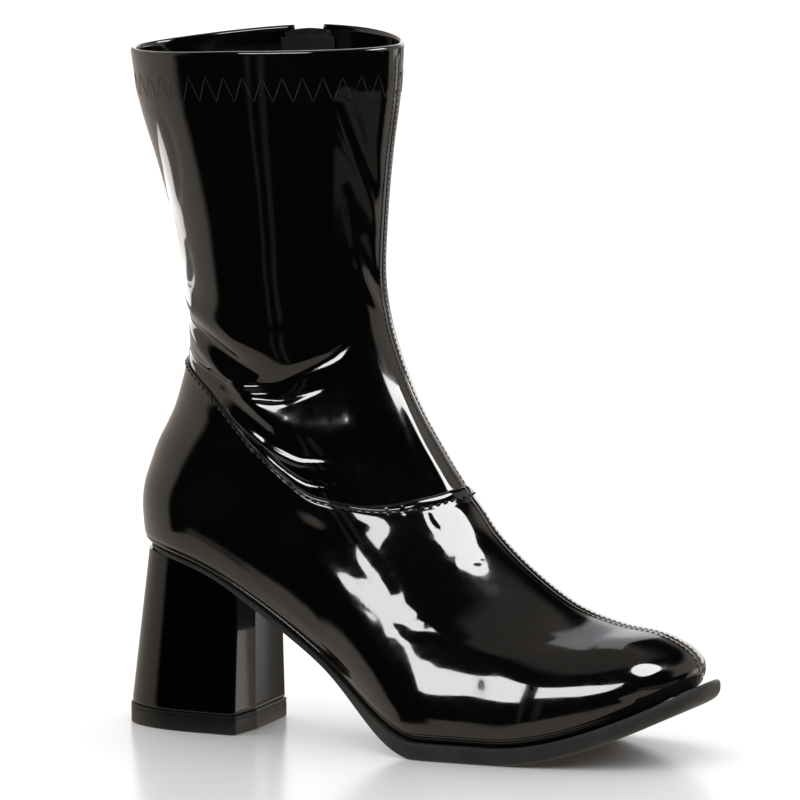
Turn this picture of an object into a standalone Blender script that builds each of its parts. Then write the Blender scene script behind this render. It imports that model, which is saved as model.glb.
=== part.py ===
"""Go go boot, right foot: upper, insole, outsole, block heel, heel tip and inner zip.

Lengths are millimetres, turned to metres once by MM. +X points to the toe, +Y to the
inner (medial) side, +Z up. The origin is the centre of the heel's ground face.
"""
import math

import bmesh
import bpy
import numpy as np
from mathutils import Matrix, Vector

MM = 0.001

# Main sizes
LAST_LENGTH = 242.0
BALL_BREADTH = 88.0
HEEL_HEIGHT = 76.0
INSTEP_HEIGHT = 100.0
NECK_HEIGHT = 170.0
BOOT_HEIGHT = 284.0
COUNTER_BACK_X = -21.2
ANKLE_BREADTH = 67.3
COLLAR_BREADTH = 84.0
TOE_SPRING = 27.0
TOE_SWING = 6.0
WAIST_SWING = -2.5
WAIST_X = 85.0
WAIST_REACH = 38.0
COLLAR_LIFT = 3.0

# Upper
SHAFT_WALL = 1.8
HEM_WALL = 2.4
FOOT_STEP = 0.7
HEM_START_ROW = 16.2
EDGE_ROUND = 3.0
LASTING_MARGIN = 9.0
RIM_RISE = 1.0
FOLD_DEPTH = 2.2

# Outsole
TREAD_THICK = 7.2
WAIST_THICK = 3.4
SEAT_THICK = 2.6
WELT_SIDE = 2.2
WELT_TOE = 7.5
SEAT_INSET = 1.8
SOLE_EDGE_ROUND = 0.8
FLAT_BACK_X = 116.0
FLAT_FRONT_X = 150.0
TREAD_BACK_LAP = 8.0
TREAD_THIN_RUN = 48.0
TOE_THICKER = 0.8
SEAT_FRONT_X = 40.0
SEAT_RUN = 30.0
SEAT_EDGE_X = 45.0
WELT_BACK_X = 60.0
WELT_BACK_RUN = 50.0
WELT_TOE_X = 175.0
WELT_TOE_RUN = 45.0

# Insole
INSOLE_THICK = 2.6
INSOLE_INSET = 3.8
INSOLE_EDGE = 0.4

# Heel
TIP_THICK = 8.0
HEEL_BACK_X = -27.6
HEEL_FRONT_X = 28.0
HEEL_BREADTH = 51.0
HEEL_TOP_BACK_IN = 8.0
HEEL_TOP_SIDE_IN = 3.0
HEEL_SIDE_START_X = 12.0
BREAST_RIDGE = 1.8
BREAST_RIDGE_Y = -8.0
HEEL_CORNER = 2.0
TIP_OVERHANG = 0.5
TIP_EDGE = 0.5

# Zip
ZIP_ROW_BOTTOM = 10.0
TAPE_BREADTH = 25.0
TAPE_THICK = 0.8
TAPE_DROP = 4.0
CHAIN_BREADTH = 5.4
CHAIN_THICK = 2.0
CHAIN_DROP = 2.0
TOOTH_PITCH = 4.0
TOOTH_RELIEF = 0.5
SLIDER_LENGTH = 9.5
SLIDER_BREADTH = 8.8
SLIDER_PLATE = 1.2
SLIDER_DROP = 12.0
BAR_RADIUS = 0.7
BAR_LIFT = 2.0
LUG_THICK = 1.2
LUG_LENGTH = 2.6
LUG_OVER_BAR = 1.2
LUG_SINK = 0.4
PULL_LENGTH = 27.0
PULL_BREADTH = 5.6
PULL_THICK = 1.4
PULL_CORNER = 1.6
EYE_RADIUS = 1.9

# Clearances
FIT_GAP = 0.3
SOLE_GAP = 0.45
TAPE_GAP = 0.5
INSOLE_GAP = 0.7
BAR_GAP = 0.35

# Counts
AROUND = 52
SLOT_HALF_CELLS = 1
PLATE_ACROSS = 6

# Key rows of the upper, feather to collar.
# front_x, back_x: shares of LAST_LENGTH from the counter's back.
# front_h, back_h: 0 to 1 up to instep or neck, 1 to 2 from there to the collar.
# sag: share of the feather line's dip. heel, waist, ball: shares of half the breadth
# that size_across gives: ball, then ankle, then collar. back_cap, front_cap: rounded
# ends, shares of the row's own length.
# pinch: 0.5 for a round front, more for the ridge of the front seam.
ROW_COLUMNS = ("front_x", "back_x", "front_h", "back_h", "sag", "heel", "waist",
               "ball", "back_cap", "front_cap", "pinch")
UPPER_ROWS = (
    (0.998, 0.003, 0.333, 0.039, 1.000, 0.570, 0.520, 0.955, 0.107, 0.26, 0.50),
    (1.001, 0.001, 0.375, 0.096, 0.950, 0.660, 0.640, 1.000, 0.122, 0.26, 0.50),
    (0.994, 0.000, 0.415, 0.181, 0.860, 0.700, 0.700, 1.000, 0.131, 0.25, 0.50),
    (0.972, 0.004, 0.458, 0.266, 0.760, 0.720, 0.735, 0.960, 0.143, 0.24, 0.50),
    (0.929, 0.015, 0.500, 0.356, 0.660, 0.730, 0.750, 0.890, 0.167, 0.27, 0.50),
    (0.863, 0.028, 0.525, 0.447, 0.570, 0.735, 0.760, 0.830, 0.199, 0.31, 0.50),
    (0.784, 0.045, 0.590, 0.532, 0.490, 0.740, 0.765, 0.790, 0.241, 0.36, 0.51),
    (0.706, 0.058, 0.718, 0.606, 0.440, 0.745, 0.765, 0.770, 0.299, 0.41, 0.51),
    (0.642, 0.069, 0.860, 0.697, 0.410, 0.750, 0.765, 0.765, 0.370, 0.46, 0.51),
    (0.600, 0.077, 0.995, 0.782, 0.400, 0.755, 0.765, 0.760, 0.450, 0.50, 0.52),
    (0.551, 0.081, 1.094, 0.862, 0.330, 0.774, 0.779, 0.774, 0.490, 0.50, 0.53),
    (0.501, 0.082, 1.198, 0.947, 0.220, 0.818, 0.818, 0.818, 0.500, 0.50, 0.54),
    (0.467, 0.078, 1.295, 1.027, 0.120, 0.885, 0.885, 0.885, 0.500, 0.50, 0.55),
    (0.443, 0.074, 1.391, 1.106, 0.050, 0.957, 0.957, 0.957, 0.500, 0.50, 0.56),
    (0.432, 0.069, 1.490, 1.195, 0.000, 1.000, 1.000, 1.000, 0.500, 0.50, 0.56),
    (0.436, 0.053, 1.626, 1.358, 0.000, 0.995, 0.995, 0.995, 0.500, 0.50, 0.56),
    (0.445, 0.027, 1.761, 1.549, 0.000, 0.989, 0.989, 0.989, 0.500, 0.50, 0.56),
    (0.458, -0.007, 1.896, 1.770, -0.020, 1.000, 1.000, 1.000, 0.500, 0.50, 0.55),
    (0.462, -0.022, 2.000, 1.956, -0.030, 1.000, 1.000, 1.000, 0.500, 0.50, 0.54),
)
SEAM_ROW = 9.0
ANKLE_ROW = 14.0
COLLAR_ROW = 18.0
STATION_HEEL = 0.20
OUTER_STATIONS = (0.36, 0.60)
INNER_STATIONS = (0.43, 0.69)

# Ankle folds. angle: degrees from the back by the outer side. row: key row at its
# middle. reach: half-length in degrees. breadth: half-width in rows. depth: share of
# FOLD_DEPTH, minus for a trough. bow: rows by which its ends rise.
FOLDS = (
    # angle, row, reach, breadth, depth, bow
    (75.0, 11.3, 75.0, 0.42, -1.00, 1.10),
    (85.0, 10.4, 70.0, 0.36, 0.75, 0.90),
    (70.0, 12.3, 70.0, 0.45, 0.60, 0.80),
    (300.0, 11.2, 60.0, 0.42, -0.80, 0.90),
    (300.0, 10.4, 60.0, 0.36, 0.55, 0.70),
    (0.0, 12.2, 38.0, 0.50, -0.70, 0.20),
)

# Rows at which the upper is meshed.
FOOT_LOFT = 15
ANKLE_LOFT = 11
ANKLE_TOP_ROW = 13.2
SHAFT_LOFT = 7


def smooth(value):
    """Ease from 0 to 1 with level ends."""
    value = np.clip(value, 0.0, 1.0)
    return value * value * (3.0 - 2.0 * value)


def through(table, place):
    """Smooth curve through the rows of a table, by row number."""
    last = len(table) - 1
    base = np.clip(np.floor(place), 0, last - 1).astype(int)
    part = (place - base)[..., None]
    before = np.where((base > 0)[..., None], table[np.maximum(base - 1, 0)],
                      2.0 * table[0] - table[1])
    after = np.where((base < last - 1)[..., None], table[np.minimum(base + 2, last)],
                     2.0 * table[last] - table[last - 1])
    here = table[base]
    there = table[base + 1]
    pull = 2.0 * before - 5.0 * here + 4.0 * there - after
    turn = 3.0 * (here - there) + after - before
    return here + 0.5 * part * ((there - before) + part * (pull + part * turn))


def feather_height(along):
    """Height of the line where upper and outsole meet."""
    back = (FLAT_BACK_X - along) / (FLAT_BACK_X - COUNTER_BACK_X)
    arch = (HEEL_HEIGHT - TREAD_THICK) * smooth(np.maximum(back, 0.0) ** 0.8)
    toe_x = COUNTER_BACK_X + LAST_LENGTH + WELT_TOE
    front = np.maximum((along - FLAT_FRONT_X) / (toe_x - FLAT_FRONT_X), 0.0)
    return TREAD_THICK + arch + TOE_SPRING * front ** 1.7


def sole_thickness(along):
    """Thickness of the outsole from tread to seat."""
    waist = smooth((FLAT_BACK_X - TREAD_BACK_LAP - along) / TREAD_THIN_RUN)
    seat = smooth((SEAT_FRONT_X - along) / SEAT_RUN)
    toe_end = COUNTER_BACK_X + LAST_LENGTH
    front = smooth((along - FLAT_FRONT_X) / (toe_end - FLAT_FRONT_X))
    thick = TREAD_THICK + (WAIST_THICK - TREAD_THICK) * waist
    return thick + (SEAT_THICK - WAIST_THICK) * seat + TOE_THICKER * front


def spine(along, sag):
    """Sideways swing of the last's centre line."""
    toe_end = COUNTER_BACK_X + LAST_LENGTH
    reach = (along - FLAT_BACK_X) / (toe_end - FLAT_BACK_X)
    toe = TOE_SWING * np.clip(reach, 0.0, 1.2) ** 1.6
    waist = WAIST_SWING * np.exp(-((along - WAIST_X) / WAIST_REACH) ** 2)
    return toe + waist * sag


def rise(share, low, middle, top):
    """Height from a share that runs 0 to 1 below and 1 to 2 above the middle."""
    lower = np.minimum(share, 1.0) * (middle - low)
    upper = np.maximum(share - 1.0, 0.0) * (top - middle)
    return low + lower + upper


def size_across(row):
    """Named breadth that a row's shares follow: ball, then ankle, then collar."""
    to_ankle = smooth((row - SEAM_ROW) / (ANKLE_ROW - SEAM_ROW))
    to_collar = smooth((row - ANKLE_ROW) / (COLLAR_ROW - ANKLE_ROW))
    size = BALL_BREADTH + (ANKLE_BREADTH - BALL_BREADTH) * to_ankle
    return size + (COLLAR_BREADTH - ANKLE_BREADTH) * to_collar


def breadth(share, outer_side, heel, waist, ball):
    """Share of the half-breadth, eased through heel, waist and ball of one side."""
    at_waist = np.where(outer_side, OUTER_STATIONS[0], INNER_STATIONS[0])
    at_ball = np.where(outer_side, OUTER_STATIONS[1], INNER_STATIONS[1])
    first = smooth((share - STATION_HEEL) / (at_waist - STATION_HEEL))
    second = smooth((share - at_waist) / (at_ball - at_waist))
    return heel + (waist - heel) * first + (ball - waist) * second


def fold_relief(angle, row):
    """Height of the ankle folds over the plain surface."""
    total = np.zeros(np.broadcast(angle, row).shape)
    degrees = np.degrees(angle)
    for middle, level, reach, wide, depth, bow in FOLDS:
        off = (degrees - middle + 180.0) % 360.0 - 180.0
        near = np.clip(1.0 - (off / reach) ** 2, 0.0, 1.0)
        line = level + bow * (off / reach) ** 2
        total = total + depth * near ** 1.5 * np.exp(-((row - line) / wide) ** 2)
    return total * FOLD_DEPTH


def plain_surface(angle, row):
    """Outer face of the upper without folds or steps."""
    angle, row = np.broadcast_arrays(np.asarray(angle, float), np.asarray(row, float))
    values = through(np.array(UPPER_ROWS), row)
    named = {name: values[..., k] for k, name in enumerate(ROW_COLUMNS)}
    share = (1.0 - np.cos(angle)) / 2.0
    back_x = COUNTER_BACK_X + named["back_x"] * LAST_LENGTH
    front_x = COUNTER_BACK_X + named["front_x"] * LAST_LENGTH
    back_z = rise(named["back_h"], HEEL_HEIGHT, NECK_HEIGHT, BOOT_HEIGHT)
    front_z = rise(named["front_h"], 0.0, INSTEP_HEIGHT, BOOT_HEIGHT)
    along = back_x + (front_x - back_x) * share
    ends = feather_height(np.array([COUNTER_BACK_X, COUNTER_BACK_X + LAST_LENGTH]))
    straight = ends[0] + (ends[1] - ends[0]) * share
    dip = feather_height(COUNTER_BACK_X + LAST_LENGTH * share) - straight
    height = back_z + (front_z - back_z) * share + named["sag"] * dip
    outer_side = np.sin(angle) > 0.0
    half = breadth(share, outer_side, named["heel"], named["waist"], named["ball"])
    half = half * size_across(row) / 2.0
    from_back = np.clip(share / named["back_cap"], 0.0, 1.0)
    from_front = np.clip((1.0 - share) / named["front_cap"], 0.0, 1.0)
    half = half * np.sqrt(from_back * (2.0 - from_back))
    half = half * (from_front * (2.0 - from_front)) ** named["pinch"]
    across = spine(along, named["sag"]) - half * np.sign(np.sin(angle))
    inner_top = np.clip(-np.sin(angle), 0.0, 1.0) ** 2 * smooth(row - COLLAR_ROW + 1.5)
    height = height + COLLAR_LIFT * inner_top
    level = feather_height(along) + EDGE_ROUND + FOOT_STEP
    height = height + (level - height) * (1.0 - smooth(row))
    return np.stack([along, across, height], -1)


def normals(face, angle, row):
    """Outward unit normals of a face given as a function."""
    step = 0.004
    round_way = face(angle + step, row) - face(angle - step, row)
    low = np.maximum(row - 0.02, 0.0)
    high = np.minimum(row + 0.02, COLLAR_ROW)
    up_way = face(angle, high) - face(angle, low)
    out = np.cross(round_way, up_way)
    return out / np.linalg.norm(out, axis=-1, keepdims=True)


def surface(angle, row):
    """Outer face of the upper with its folds, without steps."""
    angle, row = np.broadcast_arrays(np.asarray(angle, float), np.asarray(row, float))
    lift = fold_relief(angle, row)[..., None]
    return plain_surface(angle, row) + normals(plain_surface, angle, row) * lift


def wall(row):
    """Wall thickness below the outer face, doubled at the hem."""
    return SHAFT_WALL + (HEM_WALL - SHAFT_WALL) * smooth((row - HEM_START_ROW) / 0.25)


def step_out(row):
    """The lasted foot part lies over the shaft up to the cross seam."""
    return FOOT_STEP * (1.0 - smooth((row - SEAM_ROW) / 0.07))


def angles():
    """Angles of the loft's columns, from the back by the outer side."""
    turn = (np.arange(AROUND) + 0.0) * 2.0 * math.pi / AROUND
    return turn


def feather_plan(inset, turn):
    """Plan outline of the feather line, drawn inwards by an inset."""
    zero = np.zeros_like(turn)
    here = plain_surface(turn, zero)[:, :2]
    ahead = plain_surface(turn + 0.01, zero)[:, :2]
    behind = plain_surface(turn - 0.01, zero)[:, :2]
    tangent = ahead - behind
    tangent = tangent / np.linalg.norm(tangent, axis=1, keepdims=True)
    inward = np.stack([-tangent[:, 1], tangent[:, 0]], 1)
    return here + inward * np.asarray(inset)[..., None]


def over_feather(inset, lift, turn):
    """Points at an inset from the feather outline and a lift over its height."""
    flat = feather_plan(inset, turn)
    height = feather_height(flat[:, 0]) + lift
    return np.column_stack([flat, height])


def new_object(name, vertices, faces, colour, roughness, metallic, coat=0.0):
    """Object from millimetre vertices, with its own material."""
    mesh = bpy.data.meshes.new(name)
    mesh.from_pydata([tuple(v) for v in vertices], [], faces)
    work = bmesh.new()
    work.from_mesh(mesh)
    bmesh.ops.remove_doubles(work, verts=work.verts, dist=0.01)
    bmesh.ops.recalc_face_normals(work, faces=work.faces)
    bmesh.ops.scale(work, vec=Vector((MM, MM, MM)), verts=work.verts)
    work.to_mesh(mesh)
    work.free()
    for face in mesh.polygons:
        face.use_smooth = True
    return dress(name, mesh, colour, roughness, metallic, coat)


def dress(name, mesh, colour, roughness, metallic, coat=0.0):
    """Place a mesh in the boot's collection with its own material."""
    material = bpy.data.materials.new(name + "_material")
    material.use_nodes = True
    shader = material.node_tree.nodes["Principled BSDF"]
    shader.inputs["Base Color"].default_value = (*colour, 1.0)
    shader.inputs["Roughness"].default_value = roughness
    shader.inputs["Metallic"].default_value = metallic
    shader.inputs["Coat Weight"].default_value = coat
    mesh.materials.clear()
    mesh.materials.append(material)
    made = bpy.data.objects.new(name, mesh)
    boot.objects.link(made)
    return made


def shell(outer, inner, wrap, left_out=None):
    """Vertices and faces of a closed shell between two grids of points."""
    rows, columns = outer.shape[:2]
    cells = columns if wrap else columns - 1
    vertices = list(outer.reshape(-1, 3)) + list(inner.reshape(-1, 3))
    shift = rows * columns

    def kept(r, c):
        if not 0 <= r < rows - 1:
            return False
        if wrap:
            c = c % columns
        elif not 0 <= c < cells:
            return False
        return left_out is None or not left_out(r, c)

    faces = []
    for r in range(rows - 1):
        for c in range(cells):
            if not kept(r, c):
                continue
            a = r * columns + c
            b = r * columns + (c + 1) % columns
            d = a + columns
            e = b + columns
            faces.append((a, b, e, d))
            faces.append((shift + a, shift + d, shift + e, shift + b))
            for free, p, q in ((not kept(r - 1, c), a, b), (not kept(r + 1, c), e, d),
                               (not kept(r, c - 1), d, a), (not kept(r, c + 1), b, e)):
                if free:
                    faces.append((p, shift + p, shift + q, q))
    used = sorted({k for face in faces for k in face})
    place = {k: n for n, k in enumerate(used)}
    faces = [tuple(place[k] for k in face) for face in faces]
    return [vertices[k] for k in used], faces


def loft_rows():
    """Rows at which the upper is meshed, with the steps kept sharp."""
    foot = np.linspace(0.0, SEAM_ROW, FOOT_LOFT)
    ankle = np.linspace(SEAM_ROW + 0.07, ANKLE_TOP_ROW, ANKLE_LOFT)
    shaft = np.linspace(ANKLE_TOP_ROW, COLLAR_ROW, SHAFT_LOFT)[1:]
    return np.concatenate([foot, ankle, shaft])


def make_upper():
    """Hollow upper: turned-in lasting margin, foot part, shaft, hem and zip slot."""
    turn = angles()
    rows = loft_rows()
    grid_turn, grid_row = np.meshgrid(turn, rows)
    face = surface(grid_turn, grid_row)
    out = normals(plain_surface, grid_turn, grid_row)
    outer = face + out * step_out(grid_row)[..., None]
    inner = face - out * wall(grid_row)[..., None]

    start = feather_plan(0.0, turn)
    base = feather_height(start[:, 0])
    lift = face[0, :, 2] - base
    bent_out = []
    bent_in = []
    wide = EDGE_ROUND + FOOT_STEP
    for part in (0.0, 35.0, 65.0):
        lean = math.radians(part)
        inset = EDGE_ROUND - wide * math.sin(lean)
        bent_out.append((inset, -FOOT_STEP + wide * (1.0 - math.cos(lean))))
        tight = EDGE_ROUND - SHAFT_WALL
        inset_in = EDGE_ROUND - tight * math.sin(lean)
        bent_in.append((inset_in, SHAFT_WALL + tight * (1.0 - math.cos(lean))))
    bent_out.insert(0, (LASTING_MARGIN, -FOOT_STEP))
    bent_in.insert(0, (LASTING_MARGIN, SHAFT_WALL))
    share = lift / wide
    low_out = [over_feather(i, (FOOT_STEP + h) * share, turn) for i, h in bent_out]
    low_in = [over_feather(i, (FOOT_STEP + h) * share, turn) for i, h in bent_in]

    top_out = outer[-1] * 0.75 + inner[-1] * 0.25 + np.array([0.0, 0.0, RIM_RISE])
    top_in = outer[-1] * 0.25 + inner[-1] * 0.75 + np.array([0.0, 0.0, RIM_RISE])
    outer = np.concatenate([np.array(low_out), outer, top_out[None]])
    inner = np.concatenate([np.array(low_in), inner, top_in[None]])

    first = len(low_out) + int(np.searchsorted(rows, ZIP_ROW_BOTTOM))
    middle = AROUND * 3 // 4

    def in_slot(r, c):
        return r >= first and middle - SLOT_HALF_CELLS <= c < middle + SLOT_HALF_CELLS

    vertices, faces = shell(outer, inner, True, in_slot)
    return new_object("upper", vertices, faces, (0.006, 0.006, 0.007), 0.06, 0.0, 1.0)


def plate(turn, margin, top, bottom, edge):
    """Plate over the feather outline: closed solid from side rings and a spine grid."""
    count = len(turn)
    half = count // 2
    rings = []
    for inset, lift in ((edge, 0.0), (0.0, -edge), (0.0, edge), (edge, 0.0)):
        flat = feather_plan(inset - margin, turn)
        face = top if len(rings) < 2 else bottom
        rings.append(np.column_stack([flat, face(flat[:, 0]) + lift]))
    vertices = list(np.concatenate(rings))
    faces = []
    for r in range(3):
        for c in range(count):
            d = (c + 1) % count
            faces.append((r * count + c, r * count + d, (r + 1) * count + d,
                          (r + 1) * count + c))
    for ring, face in ((0, top), (3, bottom)):
        start = ring * count
        lines = []
        for k in range(1, half):
            one = rings[ring][k]
            other = rings[ring][count - k]
            line = [start + k]
            for m in range(1, PLATE_ACROSS):
                spot = one + (other - one) * m / PLATE_ACROSS
                vertices.append(np.array([spot[0], spot[1], face(spot[0])]))
                line.append(len(vertices) - 1)
            line.append(start + count - k)
            lines.append(line)
        for one, other in zip(lines, lines[1:]):
            for m in range(PLATE_ACROSS):
                faces.append((one[m], one[m + 1], other[m + 1], other[m]))
        for m in range(PLATE_ACROSS):
            faces.append((start, lines[0][m + 1], lines[0][m]))
            faces.append((start + half, lines[-1][m], lines[-1][m + 1]))
    return vertices, faces


def make_outsole():
    """Thin sole: tread, waist and the tongue over the heel seat."""
    turn = angles()
    along = feather_plan(0.0, turn)[:, 0]
    side = WELT_SIDE * smooth((along - WELT_BACK_X) / WELT_BACK_RUN)
    toe = (WELT_TOE - WELT_SIDE) * smooth((along - WELT_TOE_X) / WELT_TOE_RUN)
    seat = -SEAT_INSET * smooth((SEAT_EDGE_X - along) / SEAT_RUN)
    margin = side + toe + seat

    def top(x):
        return feather_height(x) - SOLE_GAP

    def bottom(x):
        return feather_height(x) - sole_thickness(x)

    vertices, faces = plate(turn, margin, top, bottom, SOLE_EDGE_ROUND)
    return new_object("outsole", vertices, faces, (0.035, 0.034, 0.033), 0.5, 0.0)


def make_insole():
    """Insole board and sock on the lasting margin."""
    turn = angles()
    margin = np.full(len(turn), -INSOLE_INSET)

    def bottom(x):
        return feather_height(x) + FOOT_STEP + SHAFT_WALL + INSOLE_GAP

    def top(x):
        return bottom(x) + INSOLE_THICK

    vertices, faces = plate(turn, margin, top, bottom, INSOLE_EDGE)
    return new_object("insole", vertices, faces, (0.04, 0.037, 0.034), 0.8, 0.0)


def heel_outline(level, grow=0.0):
    """Plan of the block heel: round back, straight sides, two-faced breast."""
    back = HEEL_BACK_X + HEEL_TOP_BACK_IN * level - grow
    half = HEEL_BREADTH / 2.0 - HEEL_TOP_SIDE_IN * level + grow
    front = HEEL_FRONT_X + grow
    start = HEEL_SIDE_START_X
    points = []
    for k in range(-7, 8):
        lean = math.radians(90.0 * k / 8.0)
        x = start - (start - back) * math.cos(lean) ** 0.86
        y = half * math.copysign(abs(math.sin(lean)) ** 0.86, lean)
        points.append((x, y))
    points.append((start, half))
    for lean in (0.0, 45.0, 90.0):
        turn = math.radians(lean)
        points.append((front - HEEL_CORNER + HEEL_CORNER * math.sin(turn),
                       half - HEEL_CORNER + HEEL_CORNER * math.cos(turn)))
    points.append((front + BREAST_RIDGE, BREAST_RIDGE_Y))
    for lean in (90.0, 45.0, 0.0):
        turn = math.radians(lean)
        points.append((front - HEEL_CORNER + HEEL_CORNER * math.sin(turn),
                       HEEL_CORNER - half - HEEL_CORNER * math.cos(turn)))
    points.append((start, -half))
    return np.array(points)


def prism(rings):
    """Closed solid from stacked rings, capped by rings drawn to the middle."""
    count = len(rings[0])
    vertices = list(np.concatenate(rings))
    faces = []
    for r in range(len(rings) - 1):
        for c in range(count):
            d = (c + 1) % count
            faces.append((r * count + c, r * count + d, (r + 1) * count + d,
                          (r + 1) * count + c))
    return vertices, faces, count


def seat_height(along):
    """Top of the heel block, following the underside of the outsole."""
    return feather_height(along) - sole_thickness(along) - FIT_GAP


def make_heel():
    """Covered block heel, flared to the back and the sides."""
    floor = TIP_THICK + FIT_GAP
    rings = []
    for level in (0.0, 0.33, 0.66, 1.0):
        flat = heel_outline(level)
        height = floor + (seat_height(flat[:, 0]) - floor) * level
        rings.append(np.column_stack([flat, height]))
    vertices, faces, count = prism(rings)
    faces.append(tuple(range(count)))
    last = (len(rings) - 1) * count
    previous = list(range(last, last + count))
    top = rings[-1]
    middle = top.mean(0)
    for share in (0.7, 0.4):
        ring = middle + (top - middle) * share
        ring[:, 2] = seat_height(ring[:, 0])
        start = len(vertices)
        vertices.extend(ring)
        now = list(range(start, start + count))
        for c in range(count):
            d = (c + 1) % count
            faces.append((previous[c], previous[d], now[d], now[c]))
        previous = now
    centre = np.array([middle[0], middle[1], seat_height(middle[0])])
    vertices.append(centre)
    for c in range(count):
        faces.append((previous[c], previous[(c + 1) % count], len(vertices) - 1))
    return new_object("heel", vertices, faces, (0.006, 0.006, 0.007), 0.07, 0.0, 1.0)


def make_heel_tip():
    """Rubber top piece, flat on the ground."""
    rings = []
    for grow, height in ((TIP_OVERHANG - TIP_EDGE, 0.0), (TIP_OVERHANG, TIP_EDGE),
                         (TIP_OVERHANG, TIP_THICK - TIP_EDGE),
                         (TIP_OVERHANG - TIP_EDGE, TIP_THICK)):
        flat = heel_outline(0.0, grow)
        rings.append(np.column_stack([flat, np.full(len(flat), height)]))
    vertices, faces, count = prism(rings)
    faces.append(tuple(range(count)))
    faces.append(tuple(range(3 * count, 4 * count)))
    return new_object("heel_tip", vertices, faces, (0.02, 0.02, 0.021), 0.45, 0.0)


def zip_strip(half, lift_out, lift_in, bottom, top, steps, across):
    """Strip along the middle of the inner side, at lifts over the outer face."""
    rows = np.linspace(bottom, top, steps)
    middle = 1.5 * math.pi
    arm = (surface(middle + 0.1, rows) - surface(middle - 0.1, rows)) / 0.2
    pace = np.linalg.norm(arm, axis=-1)
    side = np.linspace(-1.0, 1.0, across)
    grid_turn = middle + side[None, :] * half / pace[:, None]
    grid_row = np.broadcast_to(rows[:, None], grid_turn.shape)
    face = surface(grid_turn, grid_row)
    out = normals(plain_surface, grid_turn, grid_row)
    outer = face + out * lift_out(grid_row)[..., None]
    inner = face + out * lift_in(grid_row)[..., None]
    return outer, inner


def row_below_collar(drop):
    """Row number at a drop under the collar on the inner side."""
    middle = 1.5 * math.pi
    rows = np.linspace(COLLAR_ROW - 2.0, COLLAR_ROW, 81)
    heights = plain_surface(middle, rows)[:, 2]
    return float(np.interp(heights[-1] - drop, heights, rows))


def tape_face(row):
    """Lift of the tape's outer face."""
    return -wall(row) - TAPE_GAP


def make_zip_tape():
    """Woven tape behind the slot."""
    top = row_below_collar(TAPE_DROP)
    bottom = ZIP_ROW_BOTTOM - 0.35
    outer, inner = zip_strip(TAPE_BREADTH / 2.0, tape_face,
                             lambda row: tape_face(row) - TAPE_THICK,
                             bottom, top, 30, 7)
    vertices, faces = shell(outer, inner, False)
    return new_object("zip_tape", vertices, faces, (0.16, 0.16, 0.165), 0.85, 0.0)


def make_zip_teeth():
    """Closed chain of teeth on the tape, one raised rib for each tooth."""
    top = row_below_collar(CHAIN_DROP)
    bottom = ZIP_ROW_BOTTOM + 0.35
    ends = surface(1.5 * math.pi, np.array([bottom, top]))
    teeth = int(np.linalg.norm(ends[1] - ends[0]) / TOOTH_PITCH)

    def foot(row):
        return tape_face(row) + FIT_GAP

    outer, inner = zip_strip(CHAIN_BREADTH / 2.0, lambda row: foot(row) + CHAIN_THICK,
                             foot, bottom, top, teeth * 2 + 1, 3)
    out = outer - inner
    out = out / np.linalg.norm(out, axis=-1, keepdims=True)
    outer[1::2] -= out[1::2] * TOOTH_RELIEF
    vertices, faces = shell(outer, inner, False)
    return new_object("zip_teeth", vertices, faces, (0.03, 0.03, 0.032), 0.4, 0.0)


def slider_frame():
    """Frame of the slider: X along the bar, Y up the zip, Z out of the boot."""
    row = row_below_collar(SLIDER_DROP)
    middle = 1.5 * math.pi
    place = surface(middle, np.array(row))
    out = Vector(normals(plain_surface, np.array(middle), np.array(row)))
    up = Vector(surface(middle, np.array(row + 0.1)) - place)
    up = (up - out * up.dot(out)).normalized()
    bar = up.cross(out)
    lift = float(tape_face(row) + FIT_GAP + CHAIN_THICK)
    base = Vector(place) + out * (lift + FIT_GAP)
    frame = Matrix((bar, up, out)).transposed().to_4x4()
    frame.translation = base
    return frame


def add_box(work, size, centre):
    """Box in a working mesh, by size and centre."""
    made = bmesh.ops.create_cube(work, size=1.0)
    bmesh.ops.scale(work, vec=Vector(size), verts=made["verts"])
    bmesh.ops.translate(work, vec=Vector(centre), verts=made["verts"])
    return made["verts"]


def temporary(name, work):
    """Object for a Boolean, in the hidden collection of cutters."""
    mesh = bpy.data.meshes.new(name)
    work.to_mesh(mesh)
    work.free()
    made = bpy.data.objects.new(name, mesh)
    made.hide_render = True
    made.display_type = "WIRE"
    cutters.objects.link(made)
    return made


def add_boolean(target, tool, operation):
    """EXACT Boolean of a target with a tool."""
    step = target.modifiers.new(operation.lower() + "_" + tool.name, "BOOLEAN")
    step.operation = operation
    step.solver = "EXACT"
    step.object = tool


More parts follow.
